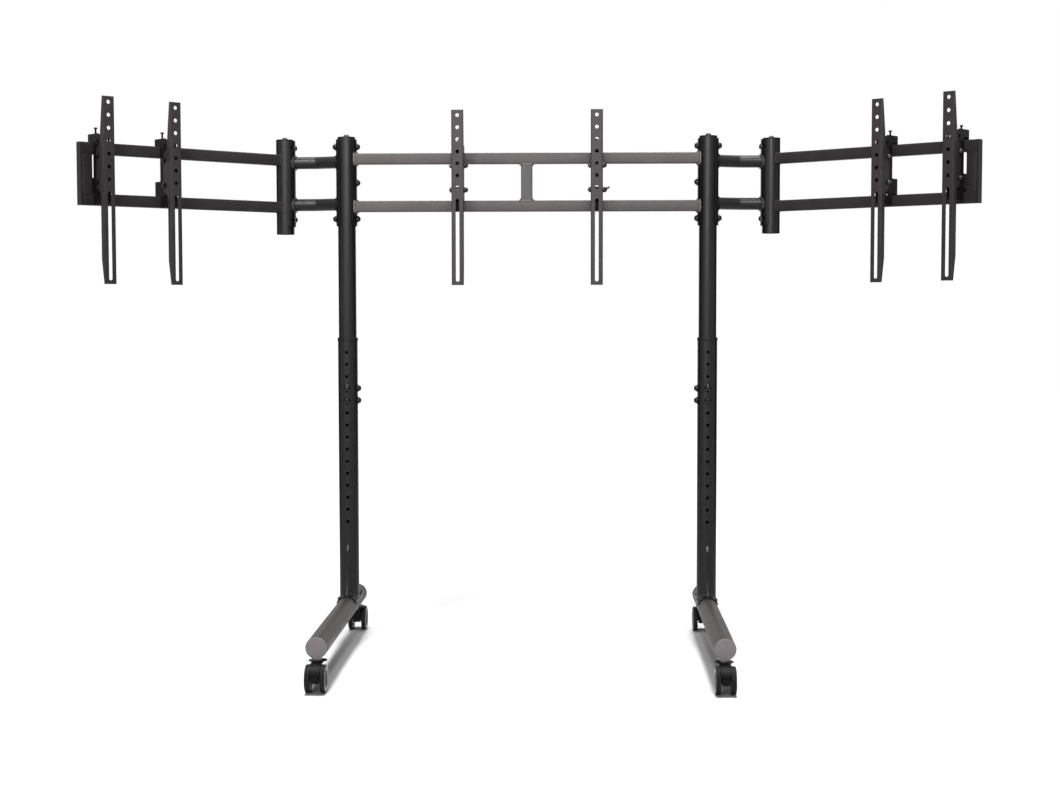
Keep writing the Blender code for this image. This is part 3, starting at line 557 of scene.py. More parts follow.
def piece(name, body, finish, shape, replaced=None, edge=0.0):
    """A finished piece on its body, for the node that it stands for. edge rounds its sharp edges."""
    obj = object_of(shape, name, finish)
    obj.data.shade_smooth()
    if edge:
        rounding = obj.modifiers.new("rounded edges", "BEVEL")
        rounding.width = edge
        rounding.segments = 2
        rounding.limit_method = "ANGLE"
        rounding.angle_limit = SHARP_ANGLE
        rounding.harden_normals = True
    else:
        obj.data.set_sharp_from_angle(angle=SHARP_ANGLE)
    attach(obj, body)
    if replaced:
        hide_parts(replaced)


def dress(prefix, body, place, *rows):
    """Pieces of one body at one place: rows of name, finish, shape, slot, and the node and edge if any. The
    slot is not used.
    """
    for name, finish, shape, slot, *rest in rows:
        replaced, edge = rest + [None, 0][len(rest):]
        if replaced:
            replaced = f"{prefix}_{replaced}"
        piece(f"{prefix}_{name}", body, finish, placed(shape, place), replaced, edge)


# Small hardware

def off_middle(vert):
    """The angle of a vertex round Z from the middle of its side of a hexagon."""
    return atan2(vert.co.y, vert.co.x) % radians(60) - radians(30)


def button_head(radius, height, socket):
    """A button-head screw on z = 0 with a hexagon socket, facing up."""
    floor = height - height * 0.55
    crown = socket * 1.35
    rim = radians(38)
    top = acos(crown * cos(rim) / radius)
    profile = [(0, floor), (socket, floor), (socket, height)]
    for step in range(7):
        angle = top + (rim - top) * step / 6
        share = (sin(angle) - sin(rim)) / (sin(top) - sin(rim))
        profile.append((radius * cos(angle) / cos(rim), height * (0.14 + 0.86 * share)))
    head = spun([*profile, (radius, 0), (0, 0)], SMALL_ROUND)
    for vert in head.verts:
        if abs(vert.co.xy.length - socket) < 0.00002:
            vert.co.xy *= cos(radians(30)) / cos(off_middle(vert))
    return head


def washer(radius, hole, thickness):
    edge = thickness * 0.25
    profile = [
        (hole, thickness), (radius - edge, thickness), (radius, thickness - edge), (radius, 0), (hole, 0)]
    return spun(profile, SMALL_ROUND, closed=True)


def washered(head, disc):
    """A button head on its washer, on z = 0."""
    return together(washer(*disc), placed(button_head(*head), move(z=disc[-1])))


def hexagon_nut(radius, height, bore):
    """A nut on z = 0 with its corners turned off."""
    chamfer = height * 0.18
    shape = spun([(bore, height), (radius * 0.9, height), (radius, height - chamfer), (radius, chamfer),
                  (radius * 0.9, 0), (bore, 0)], 36, closed=True)
    flat = radius * cos(radians(30))
    for vert in shape.verts:
        reach = vert.co.xy.length
        limit = flat / cos(off_middle(vert))
        if reach > bore + 0.0002 and reach > limit:
            vert.co.xy *= limit / reach
    return shape


def tube_cap(radius, disc, bore, crown=0.0):
    """A cap with a softly domed disc above z = 0 and its plug in the bore below."""
    edge = arc(radius - 0.0010, disc - 0.0010, 0.0010, 90, 0, 3)
    plug = bore - GAP
    return spun([(0, disc + crown), (radius * 0.5, disc + crown * 0.75), *edge, (radius, GAP), (plug, GAP),
                 (plug, -CAP_PLUG), (0, -CAP_PLUG)])


# Weld beads

def bead(path, radius, ripples, closed=False, height=0.12, sides=8):
    """A weld bead along a path, with that many ripples, their height a share of the radius."""
    return swept(path, radius, sides, closed, lambda share: 1 + height * sin(share * tau * ripples))


def stepped(loop):
    """Evenly spaced points round a closed outline."""
    points = []
    for (x0, y0), (x1, y1) in zip(loop, loop[1:] + loop[:1]):
        steps = max(1, round(hypot(x1 - x0, y1 - y0) / BEAD_SPACING))
        points += [(x0 + (x1 - x0) * step / steps, y0 + (y1 - y0) * step / steps) for step in range(steps)]
    return points


def bead_round(section, cylinder, radius):
    """A weld bead where a bar of that section, (y, z) points along X, meets a cylinder about Z."""
    path = [(sqrt(max(cylinder ** 2 - y * y, 0)), y, z) for y, z in stepped(section)]
    return bead(path, radius, max(6, len(path) // 2) / 2, closed=True, height=0.10)


def corner_fillet(radius, depth):
    """A concave weld in a corner: it fills between +X and +Z from the corner at the origin, across Y."""
    sink = -0.0006
    outline = [(sink, sink), (radius, sink), *arc(radius, radius, radius, 270, 180, 8), (sink, radius)]
    return softened(placed(plate(outline, depth), turn("X", 90)), 0.0006, 1)


# Posts and bases, about the post's axis

def post_holes(sign, wall, radius, heights):
    """Cutters for the rows of holes in a post's front and inner side."""
    front = pins([(0, -wall, z) for z in heights], radius, DRILL_LENGTH, SMALL_ROUND, turn("X", 90))
    inner = pins([(-sign * wall, 0, z) for z in heights], radius, DRILL_LENGTH, SMALL_ROUND, turn("Y", 90))
    return front, inner


def lower_post(sign):
    """Post tube, base saddle and gusset."""
    tube = pipe(POST_RADIUS, FOOT_Z + 0.006, LOWER_POST_TOP, FINE_ROUND)
    bore = pins([(0, 0, FOOT_Z)], POST_RADIUS + SADDLE_WALL, 4 * POST_RADIUS, FINE_ROUND, turn("X", 90))
    tube = cut(tube, bore, *post_holes(sign, POST_RADIUS, HOLE_RADIUS, HOLE_HEIGHTS))
    saddle = rolled_sheet(BASE_HALF_ANGLE, 2 * BASE_HALF_LENGTH, BASE_SHELL)
    placed(saddle, move(z=FOOT_Z) @ turn("X", -90) @ turn("Z", -90))

    saddle_top = FOOT_Z + BASE_SHELL
    front_face = POST_RADIUS + GUSSET_REACH
    rib = plate(rounded_corners([
        (POST_RADIUS - WELD_SINK, GUSSET_TOP, 0),
        (POST_RADIUS - WELD_SINK, saddle_top - WELD_SINK, 0),
        (BASE_HALF_LENGTH - WELD_SINK, saddle_top - WELD_SINK, 0.0015),
        (BASE_HALF_LENGTH - 0.003, saddle_top + 0.003, 0.002),
        (front_face + 0.008, saddle_top + 0.018, 0.010),
        (front_face, saddle_top + 0.040, 0.020),
        (front_face, GUSSET_TOP - GUSSET_REACH, 0.004)]), GUSSET_THICKNESS)
    return together(tube, saddle, placed(rib, ON_EDGE))


def upper_post(sign):
    """The sliding tube, its own holes level with the lower post's first rows."""
    tube = pipe(INNER_RADIUS, UPPER_POST_BOTTOM, UPPER_POST_TOP, FINE_ROUND)
    heights = [z for z in HOLE_HEIGHTS if z > UPPER_POST_BOTTOM + HOLE_PITCH / 2]
    return cut(tube, *post_holes(sign, INNER_RADIUS, UPPER_HOLE_RADIUS, heights))


def base_beads():
    """Weld beads round the post's foot and up the gusset's sides."""
    ring = [(x, y, FOOT_Z + sqrt(BASE_SHELL ** 2 - x * x)) for x, y in circle(0, 0, POST_RADIUS, FINE_ROUND)]
    beads = [bead(ring, radius=0.0024, ripples=24, closed=True)]
    foot = FOOT_Z + BASE_SHELL
    for x in (-GUSSET_THICKNESS / 2, GUSSET_THICKNESS / 2):
        up = [(x, -POST_RADIUS, foot + GUSSET_BEAD_SPACING * n) for n in range(52)]
        out = [(x, -(POST_RADIUS + GUSSET_BEAD_SPACING * n), foot) for n in range(15)]
        for path, ripples in ((up, 17), (out, 5)):
            beads.append(bead(path, radius=0.0013, ripples=ripples, height=0.15, sides=6))
    return together(*beads)


def base_screws():
    """Screws through the base saddle into the foot tube, two on each flank."""
    seats = [move(0, y, FOOT_Z) @ turn("Y", angle) @ move(z=BASE_SHELL - BASE_SINK)
             for angle in (-BASE_BOLT_ANGLE, BASE_BOLT_ANGLE) for y in (-BASE_BOLT_ALONG, BASE_BOLT_ALONG)]
    return set_at(button_head(*BASE_HEAD), seats)


def lock_screws(sign):
    """The height lock's button heads, in front and on the inner side."""
    seats = [move(z=HOLE_HEIGHTS[row]) @ turn("Z", facing) @ move(POST_RADIUS - LOCK_SINK) @ turn("Y", 90)
             for row in LOCK_ROWS for facing in (-90, 0 if sign < 0 else 180)]
    return set_at(washered(SADDLE_HEAD, SADDLE_WASHER), seats)


def collar():
    inner = INNER_RADIUS + GAP
    outer = POST_RADIUS + 0.0010
    bottom = LOWER_POST_TOP + GAP
    edge = arc(outer - 0.0015, COLLAR_TOP - 0.0015, 0.0015, 90, 0, 4)
    return spun([(inner, COLLAR_TOP), *edge, (outer, bottom), (inner, bottom)], ROUND, closed=True)


def foot_tube():
    tube = pipe(POST_RADIUS, END_CAP - FOOT_REAR, FOOT_FRONT - END_CAP, FINE_ROUND)
    return placed(tube, turn("X", 90))


# Casters, about the stem's axis and trailing towards -Y

def caster_mount():
    """Round cover plate, stem boss and swivel pin."""
    boss = spun([(0, 0.084), (0.0045, 0.084), (0.005, 0.0835), (0.005, 0.0669), (0.0042, 0.0664),
                 (0.0042, 0.048), (0, 0.048)], SMALL_ROUND)
    return together(placed(washer(*COVER_PLATE), move(z=COVER_PLATE_Z)), boss)


def stem_collar():
    """The bright collar between the cover plate and the foot tube."""
    return spun([(0.0055, 0.0722), (0.0078, 0.0722), (0.0090, 0.0712), (0.0094, 0.0680), (0.0094, 0.0669),
                 (0.0055, 0.0669)], ROUND, closed=True)


def tapered(shape, top, drop, share):
    """Narrows a shape in x by that share at that drop below its top."""
    for vert in shape.verts:
        vert.co.x *= 1 - (top - vert.co.z) / drop * share
    return shape


def caster_body():
    """Hood between the wheels with its fender, swivel disc and boss."""
    round_top = 0.0285
    hood_top = WHEEL_RADIUS + round_top
    hood = placed(plate(arc(TRAIL, WHEEL_RADIUS, round_top, -13.2, 193.2, 28), 0.0213), ON_EDGE)
    tapered(hood, hood_top, drop=hood_top - 0.0245, share=0.22)
    outer = 0.0332
    inner = 0.0318
    band = arc(TRAIL, WHEEL_RADIUS, outer, 24, 112, 20) + arc(TRAIL, WHEEL_RADIUS, inner, 112, 24, 20)
    fender = placed(plate(band, 0.0258), ON_EDGE)
    tapered(fender, WHEEL_RADIUS + outer, drop=0.0200, share=0.24)
    radius = 0.0092
    back = -TRAIL - 0.008
    neck = block((-radius, back, 0.052), (radius, 0.004, 0.0632))
    crown = block((-0.0132, back, 0.0622), (0.0132, 0.006, 0.0640))
    boss = pins([(0, 0, 0.0515)], radius, 0.023, ROUND)
    return together(hood, fender, softened(neck, 0.0015), softened(crown, 0.0008), boss)


def wheel_pair(profile):
    """A ring profile of (radius, distance from the caster's middle) on both wheels."""
    one = spun(profile, ROUND, closed=True)
    return placed(together(one, placed(one.copy(), flip(z=-1))), turn("Y", 90))


def treads():
    outer_edge = arc(WHEEL_RADIUS - 0.0022, OUTER_FACE - 0.0022, 0.0022, 90, 0, 4)
    inner_edge = arc(WHEEL_RADIUS - 0.0012, INNER_FACE + 0.0012, 0.0012, 0, -90, 3)
    return wheel_pair([(RING_OUTER, OUTER_FACE - 0.0002), *outer_edge, *inner_edge, (RING_OUTER, INNER_FACE)])


def wheel_rings():
    back = INNER_FACE + 0.001
    return wheel_pair([
        (RING_INNER, OUTER_FACE - 0.0013), (0.0216, OUTER_FACE + 0.0002), (0.0274, OUTER_FACE + 0.0006),
        (RING_OUTER, OUTER_FACE + 0.0001), (RING_OUTER, back), (RING_INNER, back)])


def wheel_centres():
    back = INNER_FACE + 0.0006
    # Radius, and distance inside the wheel's outer face
    dome = [(0.0002, 0.0001), (0.005, 0.0003), (0.0085, 0.0012), (0.0095, 0.0024), (0.0125, 0.0028),
            (0.0190, 0.0022), (RING_INNER, 0.0014)]
    discs = wheel_pair([*[(radius, OUTER_FACE - inset) for radius, inset in dome],
                        (RING_INNER, back), (0.0002, back)])
    axle = pins([(0, 0, 0)], AXLE_RADIUS, 2 * OUTER_FACE - 0.004, SMALL_ROUND, turn("Y", 90))
    return together(discs, axle)


# Centre frame, about its own middle

def flat_bar(x_low, x_high, y_middle, z_middle):
    bar = block(
        (x_low, y_middle - BAR_DEPTH / 2, z_middle - BAR_HEIGHT / 2),
        (x_high, y_middle + BAR_DEPTH / 2, z_middle + BAR_HEIGHT / 2))
    return softened(bar, BAR_CORNER, 4, along=(1, 0, 0))


def bar_section(y_middle, z_middle):
    section = rounded_rectangle(BAR_DEPTH / 2, BAR_HEIGHT / 2, BAR_CORNER, 3)
    return [(y + y_middle, z + z_middle) for y, z in section]


def centre_frame():
    reach = POST_X - INNER_RADIUS - GAP - WELD_SINK
    bars = [flat_bar(-reach, reach, -BAR_FORWARD, rise) for rise in BAR_RISES]
    inside = BETWEEN_BARS + STRAP_SINK
    strap = block(
        (-STRAP_WIDTH / 2, -BAR_FORWARD - BAR_DEPTH / 2, -inside),
        (STRAP_WIDTH / 2, -BAR_FORWARD + BAR_DEPTH / 2, inside))
    return together(*bars, softened(strap, STRAP_CORNER, 4, along=(0, 0, 1)))


def at_posts(rises, out):
    """Places on the inner side of both posts, facing the middle."""
    return [move(sign * POST_X, 0, rise) @ turn("Z", 180 if sign > 0 else 0) @ move(out)
            for sign in (-1, 1) for rise in rises]


def centre_saddles():
    return set_at(rolled_sheet(POST_HALF_ANGLE, SADDLE_HEIGHT, POST_SHELL), at_posts([0], 0))


def centre_beads():
    beads = []
    for sign in (-1, 1):
        place = move(sign * POST_X) @ flip(x=-sign)
        for rise in BAR_RISES:
            around = bead_round(bar_section(-BAR_FORWARD, rise), POST_SHELL, radius=0.0026)
            beads.append(placed(around, place))
            for up in (1, -1):
                corner = move(POST_SHELL - 0.0002, -BAR_FORWARD, rise + up * BAR_HEIGHT / 2) @ flip(z=up)
                fillet = placed(corner_fillet(radius=0.0048, depth=BAR_DEPTH * 0.9), corner)
                beads.append(placed(fillet, place))
    ends = stepped(rounded_rectangle(STRAP_WIDTH / 2, BAR_DEPTH / 2 - 0.001, 0.0022, 2))
    for rise in (BETWEEN_BARS, -BETWEEN_BARS):
        path = [(x, y - BAR_FORWARD, rise) for x, y in ends]
        beads.append(bead(path, radius=0.0017, ripples=13, closed=True))
        for out in (1, -1):
            corner = move(out * STRAP_WIDTH / 2, -BAR_FORWARD, rise) @ flip(x=out, z=-1 if rise > 0 else 1)
            beads.append(placed(corner_fillet(radius=0.0042, depth=BAR_DEPTH * 0.94), corner))
    return together(*beads)


def centre_screws():
    seats = at_posts((SADDLE_BOLT_RISE, 0, -SADDLE_BOLT_RISE), POST_SHELL - SADDLE_SINK)
    return set_at(washered(SADDLE_HEAD, SADDLE_WASHER), [seat @ turn("Y", 90) for seat in seats])


# Arms, about the post's axis and reaching to +X

def filleted(start, corner, end, radius):
    """A path from start to end, its corner rounded."""
    steps = 8
    a = Vector(start)
    b = Vector(corner)
    c = Vector(end)
    to_start = (a - b).normalized()
    to_end = (c - b).normalized()
    half = to_start.angle(to_end) / 2
    first = b + to_start * radius / tan(half)
    centre = b + (to_start + to_end).normalized() * radius / sin(half)
    spoke = first - centre
    axis = spoke.cross(b + to_end * radius / tan(half) - centre).normalized()
    sweep = pi - 2 * half
    bend = [centre + Matrix.Rotation(sweep * step / steps, 3, axis) @ spoke for step in range(steps + 1)]
    return [a, *bend, c]


def arm_tubes():
    tubes = []
    for rise in (ARM_RISE, -ARM_RISE):
        path = filleted((*ARM_START, rise), (*ARM_BEND, rise), (*ARM_END, rise), ARM_BEND_RADIUS)
        tubes.append(swept(path, ARM_RADIUS, ARM_SIDES))
    return together(*tubes)


def arm_saddles():
    post_shell = rolled_sheet(POST_HALF_ANGLE, SADDLE_HEIGHT, POST_SHELL)
    hinge_shell = rolled_sheet(HINGE_HALF_ANGLE, SADDLE_HEIGHT, HINGE_SHELL, SADDLE_BOLTS)
    return together(post_shell, placed(hinge_shell, move(HINGE_OUT, HINGE_BACK) @ turn("Z", 180)))


def arm_beads(shell, radius, place):
    """Beads round the tubes' ends on a saddle of that outer radius."""
    ends = [circle(0, rise, ARM_RADIUS, ARM_SIDES) for rise in (ARM_RISE, -ARM_RISE)]
    return together(*[placed(bead_round(end, shell, radius), place) for end in ends])


def arm_screws():
    seats = [move(POST_SHELL - SADDLE_SINK, 0, rise) @ turn("Y", 90) for rise in SADDLE_BOLTS]
    return set_at(washered(SADDLE_HEAD, SADDLE_WASHER), seats)


# Wings, along +X from the hinge's axis

def wing_bars():
    bars = [flat_bar(INNER_RADIUS - TUBE_WALL, WING_BAR_END, 0, rise) for rise in BAR_RISES]
    inside = BETWEEN_BARS + STRAP_SINK
    upright = block(
        (WING_BAR_END - UPRIGHT_WIDTH, -BAR_DEPTH / 2, -inside), (WING_BAR_END, BAR_DEPTH / 2, inside))
    return together(*bars, softened(upright, BAR_CORNER, 4, along=(0, 0, 1)))


def wing_beads():
    beads = [bead_round(bar_section(0, rise), INNER_RADIUS, radius=0.0016) for rise in BAR_RISES]
    start = WING_BAR_END - UPRIGHT_WIDTH
    for rise in (BETWEEN_BARS, -BETWEEN_BARS):
        for y in (-BAR_DEPTH / 2, BAR_DEPTH / 2):
            path = [(start + 0.001 + BEAD_SPACING * n, y * 0.97, rise) for n in range(11)]
            beads.append(bead(path, radius=0.0012, ripples=5, height=0.15))
        path = [(start, -BAR_DEPTH / 2 + 0.0015 + 0.0024 * n, rise) for n in range(8)]
        beads.append(bead(path, radius=0.0016, ripples=4))
    return together(*beads)


def wing_end_cap():
    cap = plate(rounded_rectangle(BAR_DEPTH / 2, BAR_RISE + BAR_HEIGHT / 2, 0.0022), END_CAP)
    return placed(cap, move(WING_LENGTH - END_CAP / 2) @ turn("Z", 90) @ turn("X", 90))


def hinge_screws():
    """The two screws in the hinge saddle's slots, held in the hinge tube."""
    shank = pins([(0, 0, -0.003)], 0.0030, 0.009, SMALL_ROUND)
    seats = [turn("Z", HINGE_SCREW_ANGLE) @ move(HINGE_SHELL + GAP, 0, rise) @ turn("Y", 90)
             for rise in SADDLE_BOLTS]
    return set_at(together(button_head(*SLOT_HEAD), shank), seats)


# Screen rails and hook brackets; x runs along the bars and -y is forward

def rail():
    """A folded rail about its pivot bolt: a face and two flanges with ears round the tilt bolts."""
    top = RAIL_TOP - PIVOT_RISE
    foot = top - RAIL_LENGTH
    front = PIVOT_FORWARD - RAIL_FRONT
    half = RAIL_WIDTH / 2
    bend = 0.0028
    lip = 0.0038
    flange = 0.014
    # The ears round the tilt bolts: distance from the bolt along the rail, and depth
    ear = [
        (0.011, 0.0335), (0.015, 0.0315), (0.018, 0.0275), (0.022, 0.018), (0.026, 0.0145), (0.030, flange)]
    levels = [(foot, lip), (foot + 0.056, flange)]
    levels += [(-LOCK_DROP - away, depth) for away, depth in ear[::-1]] + ear
    levels += [(top - 0.080, flange), (top, lip)]
    corner = [(half - bend + x, bend - y) for x, y in arc(0, 0, bend, 0, 90, 5)]
    section = [(half, lip), *corner, *[(-x, y) for x, y in corner[::-1]], (-half, lip)]
    skin = bmesh.new()
    verts = [skin.verts.new((x, front + y, foot)) for x, y in section]
    ring = [skin.edges.new(pair) for pair in zip(verts, verts[1:])]
    previous = foot
    rows = [[verts[0], verts[-1]]]
    for z, depth in levels[1:]:
        grown = bmesh.ops.extrude_edge_only(skin, edges=ring)["geom"]
        ring = only(BMEdge, grown)
        fresh = only(BMVert, grown)
        bmesh.ops.translate(skin, verts=fresh, vec=(0, 0, z - previous))
        previous = z
        rows.append(sorted(fresh, key=lambda v: abs(abs(v.co.x) - half) * 1000 - v.co.y)[:2])
    for (z, depth), tips in zip(levels, rows):
        for tip in tips:
            tip.co.y = front + depth
    bmesh.ops.recalc_face_normals(skin, faces=skin.faces[:])
    if max(skin.faces, key=lambda f: f.calc_area()).normal.y > 0:
        bmesh.ops.reverse_faces(skin, faces=skin.faces[:])

    punch = 0.010
    heights = [top - 0.0130 - n * RAIL_HOLE_PITCH for n in range(7)]
    places = [(0, front, z) for z in heights]
    holes = pins(places, radius=0.0045, length=punch, sides=SMALL_ROUND, matrix=turn("X", 90))
    radius = 0.0044
    slot_top = heights[-1] - 0.0268 - radius
    slot_foot = foot + 0.0084 + radius
    outline = arc(0, slot_top, radius, 0, 180, 10) + arc(0, slot_foot, radius, 180, 360, 10)
    slot = placed(plate(outline, punch), move(y=front) @ turn("X", 90))
    bolts = pins([(0, 0, 0), (0, 0, -LOCK_DROP)], BOLT_HOLE, 2 * RAIL_WIDTH, SMALL_ROUND, turn("Y", 90))
    return cut(thickened(skin, RAIL_SHEET), holes, slot, bolts)


def hook_bracket():
    """A folded bracket about the bars' middle plane: cheeks, hook lips, top tab and front webs."""
    wall = 0.002
    top = 0.0895
    foot = -0.0720
    nose = 0.053
    front = BAR_DEPTH / 2 + GAP
    lip = front + 0.0035
    upper_lip_foot = 0.060
    lower_lip_top = -0.0102
    lower_lip_foot = -0.060
    upper_rest = BAR_RISE + BAR_HEIGHT / 2 + GAP
    lower_rest = GAP - BETWEEN_BARS
    outline = rounded_corners([
        (front, foot, 0.004), (0.040, foot, 0.010), (0.0485, PIVOT_RISE - LOCK_DROP, 0.030),
        (nose, 0.030, 0.006), (nose, 0.042, 0.006), (0.038, top, 0.010), (-lip, top, 0.002),
        (-lip, upper_lip_foot, 0.0015), (-front, upper_lip_foot, 0.0005), (-front, upper_rest, 0.0008),
        (front, upper_rest, 0.0008), (front, lower_lip_top, 0.003), (-lip, lower_lip_top, 0.002),
        (-lip, lower_lip_foot, 0.0015), (-front, lower_lip_foot, 0.0005), (-front, lower_rest, 0.0008),
        (front, lower_rest, 0.0008)])
    lock_slot = (
        arc(PIVOT_FORWARD, PIVOT_RISE, LOCK_DROP + BOLT_HOLE, 258.7, 281.3, 8)
        + arc(PIVOT_FORWARD, PIVOT_RISE, LOCK_DROP - BOLT_HOLE, 281.3, 258.7, 8))
    holes = [circle(PIVOT_FORWARD, PIVOT_RISE, BOLT_HOLE), lock_slot]
    holes += [circle(0.032, rise, radius=0.0045) for rise in (0.0725, -0.0475)]
    inside = RAIL_WIDTH / 2 - RAIL_SHEET - GAP - wall / 2
    forms = []
    for side in (-1, 1):
        cheek = placed(plate(outline, wall, holes), ON_EDGE)
        forms.append(placed(cheek, move(side * inside)))
    # The webs between the cheeks, each by two opposite corners (y, z)
    for low, high in (
            ((front, upper_lip_foot), (lip, top)), ((front, lower_lip_foot), (lip, lower_lip_top)),
            ((-0.014, top - wall), (lip, top)), ((-0.049, 0.006), (-0.047, 0.050)),
            ((-0.0385, -0.0715), (-0.0365, -0.030))):
        forms.append(softened(block((-inside, *low), (inside, *high)), 0.0004))
    forms.append(placed(hexagon_nut(*LEVELLING_NUT), move(z=top - 0.0055)))
    return together(*forms)


def tilt_bolt():
    """Bolt and nut across a rail, along X: the dome towards +X, the nut towards -X."""
    head = placed(washered(TILT_HEAD, TILT_WASHER), move(z=TILT_SEAT))
    shank = pins([(0, 0, -0.0015)], TILT_NUT[-1], 2 * TILT_SEAT + 0.012, SMALL_ROUND)
    nut = placed(hexagon_nut(*TILT_NUT), move(z=-TILT_SEAT - TILT_NUT[1]))
    return placed(together(head, shank, nut), turn("Y", 90))


def wing_lever():
    """A hub with one thin wing in place of a bolt's head, along X."""
    hub = spun([(0, 0.0102), (0.0036, 0.0100), (0.0054, 0.0084), (0.0068, 0.0040), (0.0072, 0), (0, 0)],
               SMALL_ROUND)
    outline = [(0, -0.0022), (0.0120, -0.0024), (0.0142, 0), (0.0120, 0.0024), (0, 0.0022)]
    wing = plate(rounded_corners([(x, y, 0.0010) for x, y in outline]), 0.0048)
    placed(wing, move(z=0.0044) @ turn("Y", LEVER_TURN) @ turn("X", 90))
    return placed(together(hub, wing), move(TILT_SEAT) @ turn("Y", 90))


def levelling_screw():
    """A cap screw with its thread, z = 0 at the tip."""
    length = 0.034
    seat = length - 0.0030
    head = 0.0043
    bevel = 0.0005
    socket = 0.0020
    floor = length - 0.0016
    pitch = 0.0008
    crest = 0.0024
    root = 0.0020
    profile = [(0, 0), (0.0018, 0)]
    z = pitch / 2
    while z < seat - pitch:
        profile += [(crest, z + 0.0002), (root, z + 0.0006)]
        z += pitch
    profile += [(crest, seat), (head, seat), (head, length - bevel), (head - bevel, length),
                (socket, length), (socket, floor), (0, floor)]
    return spun(profile[::-1], 20)


def cap_tube(prefix, body, tube, top, head):
    """The cap on top of a post or hinge tube, with its screw."""
    cap = tube_cap(INNER_RADIUS, TOP_CAP, INNER_RADIUS - TUBE_WALL, TOP_CAP_CROWN)
    dress(prefix, body, top, (tube + "_top_cap", black_plastic, cap, "black_plastic", tube + "_cap"))
    dress(prefix, body, top @ move(z=TOP_CAP + CAP_HEAD_GAP),
          (tube + "_cap_screw", black_oxide, button_head(*head), "screw_steel"))


# Build each side

for side, sign in SIDES.items():
    base = side + "_base"
    post = POST[side]
    foot = post @ move(z=FOOT_Z)
    dress(
        side, base, post,
        ("lower_post_shell", coat_posts_painted_shade, lower_post(sign), "coat", "lower_post", SHELL_EDGE),
        ("base_weld", weld_coat_painted_shade, base_beads(), "coat"),
        ("base_screws", black_oxide, base_screws(), "screw_steel"),
        ("height_lock_screws", black_oxide, lock_screws(sign), "screw_steel"),
        ("collar_ring", black_plastic, collar(), "black_plastic", "post_collar"))
    dress(side, base, foot, ("foot_pipe", coat_feet_painted_light, foot_tube(), "coat_light", "foot_tube", TUBE_EDGE))
    for end, y, tilt in (("front", END_CAP - FOOT_FRONT, 90), ("rear", FOOT_REAR - END_CAP, -90)):
        cap = tube_cap(POST_RADIUS - GAP, END_CAP, POST_RADIUS - TUBE_WALL)
        dress(side, base, foot @ move(y=y) @ turn("X", tilt),
              (end + "_foot_plug", cap_grey, cap, "cap_grey", "foot_cap_" + end, 0))
    dress(side, base, foot @ move(y=FOOT_BOLT_BACK) @ turn("Y", 45) @ move(z=POST_RADIUS - BASE_SINK),
          ("foot_screw", black_oxide, button_head(*FOOT_HEAD), "screw_steel"))

    for end, y, heading in (("front", STEM_INSET - FOOT_FRONT, 0), ("rear", FOOT_REAR - STEM_INSET, 180)):
        name = f"{side}_{end}"
        stem = post @ move(y=y)
        swivel = stem @ turn("Z", heading)
        dress(name, base, stem,
              ("caster_plate", black_plastic, caster_mount(), "screw_steel", "caster_mount", TUBE_EDGE))
        dress(name, name + "_caster", swivel,
              ("caster_hood", hood_plastic, caster_body(), "black_plastic", "caster_body", HOOD_EDGE))
        dress(name, base, stem, ("stem_collar", collar_steel, stem_collar(), "screw_steel"))
        dress(
            name, name + "_wheels", swivel @ move(0, -TRAIL, WHEEL_RADIUS),
            ("treads", tyre_rubber, treads(), "wheel", "caster_wheels"),
            ("wheel_rings", wheel_grey, wheel_rings(), "wheel"),
            ("wheel_centres", black_plastic, wheel_centres(), "wheel"))

    upper = "upper_frame"
    dress(side, upper, post,
          ("upper_post_tube", coat_posts_painted_shade, upper_post(sign), "coat", "upper_post", TUBE_EDGE))
    cap_tube(side, upper, "post", post @ move(z=UPPER_POST_TOP), POST_CAP_HEAD)
    near = arm_beads(POST_SHELL, radius=0.0034, place=turn("Z", ARM_POST_TURN))
    at_hinge = move(HINGE_OUT, HINGE_BACK) @ turn("Z", ARM_HINGE_TURN)
    far = arm_beads(HINGE_SHELL, radius=0.0042, place=at_hinge)
    dress(
        side, upper, post @ move(z=FRAME_Z) @ flip(x=sign),
        ("arm_tubes", coat_arms_painted_shade, arm_tubes(), "coat", "arm"),
        ("arm_saddles", coat_posts_painted_shade, arm_saddles(), "coat", None, SHELL_EDGE),
        # the beads by the post take the brackets' coat, so their darkness is painted shade
        ("arm_post_weld", coat_brackets_painted_shade, near, "coat"),
        ("arm_hinge_weld", weld_coat_painted_shade, far, "coat"),
        ("arm_screws", black_oxide, arm_screws(), "screw_steel"))

    wing = side + "_wing"
    place = WING[side] @ flip(x=sign)
    hinge_pipe = pipe(INNER_RADIUS, HINGE_TUBE_BOTTOM - FRAME_Z, HINGE_TUBE_TOP - FRAME_Z)
    dress(
        side, wing, place,
        ("hinge_pipe", coat_posts_painted_shade, hinge_pipe, "coat", None, TUBE_EDGE),
        ("wing_bars", coat_wings_painted_shade, wing_bars(), "coat_light", "wing_frame"),
        ("wing_weld", coat_wings_painted_shade, wing_beads(), "coat_light"))
    cap_tube(side, wing, "hinge", place @ move(z=HINGE_TUBE_TOP - FRAME_Z), HINGE_CAP_HEAD)
    dress(
        side, wing, place,
        ("wing_plug", black_plastic, wing_end_cap(), "black_plastic", "wing_end_cap", TUBE_EDGE),
        ("hinge_screws", black_oxide, hinge_screws(), "screw_steel"))

# Build the centre frame

middle = move(y=POST_Y, z=FRAME_Z)
piece("centre_bars", "upper_frame", coat_bars, placed(centre_frame(), middle), "crossbar_frame")
dress(
    "centre", "upper_frame", middle,
    ("saddles", coat_posts_painted_shade, centre_saddles(), "coat_light", None, SHELL_EDGE),
    ("weld", weld_bars_painted_light, centre_beads(), "coat_light"),
    ("screws", black_oxide, centre_screws(), "screw_steel"))

# Build the screen rails on their brackets

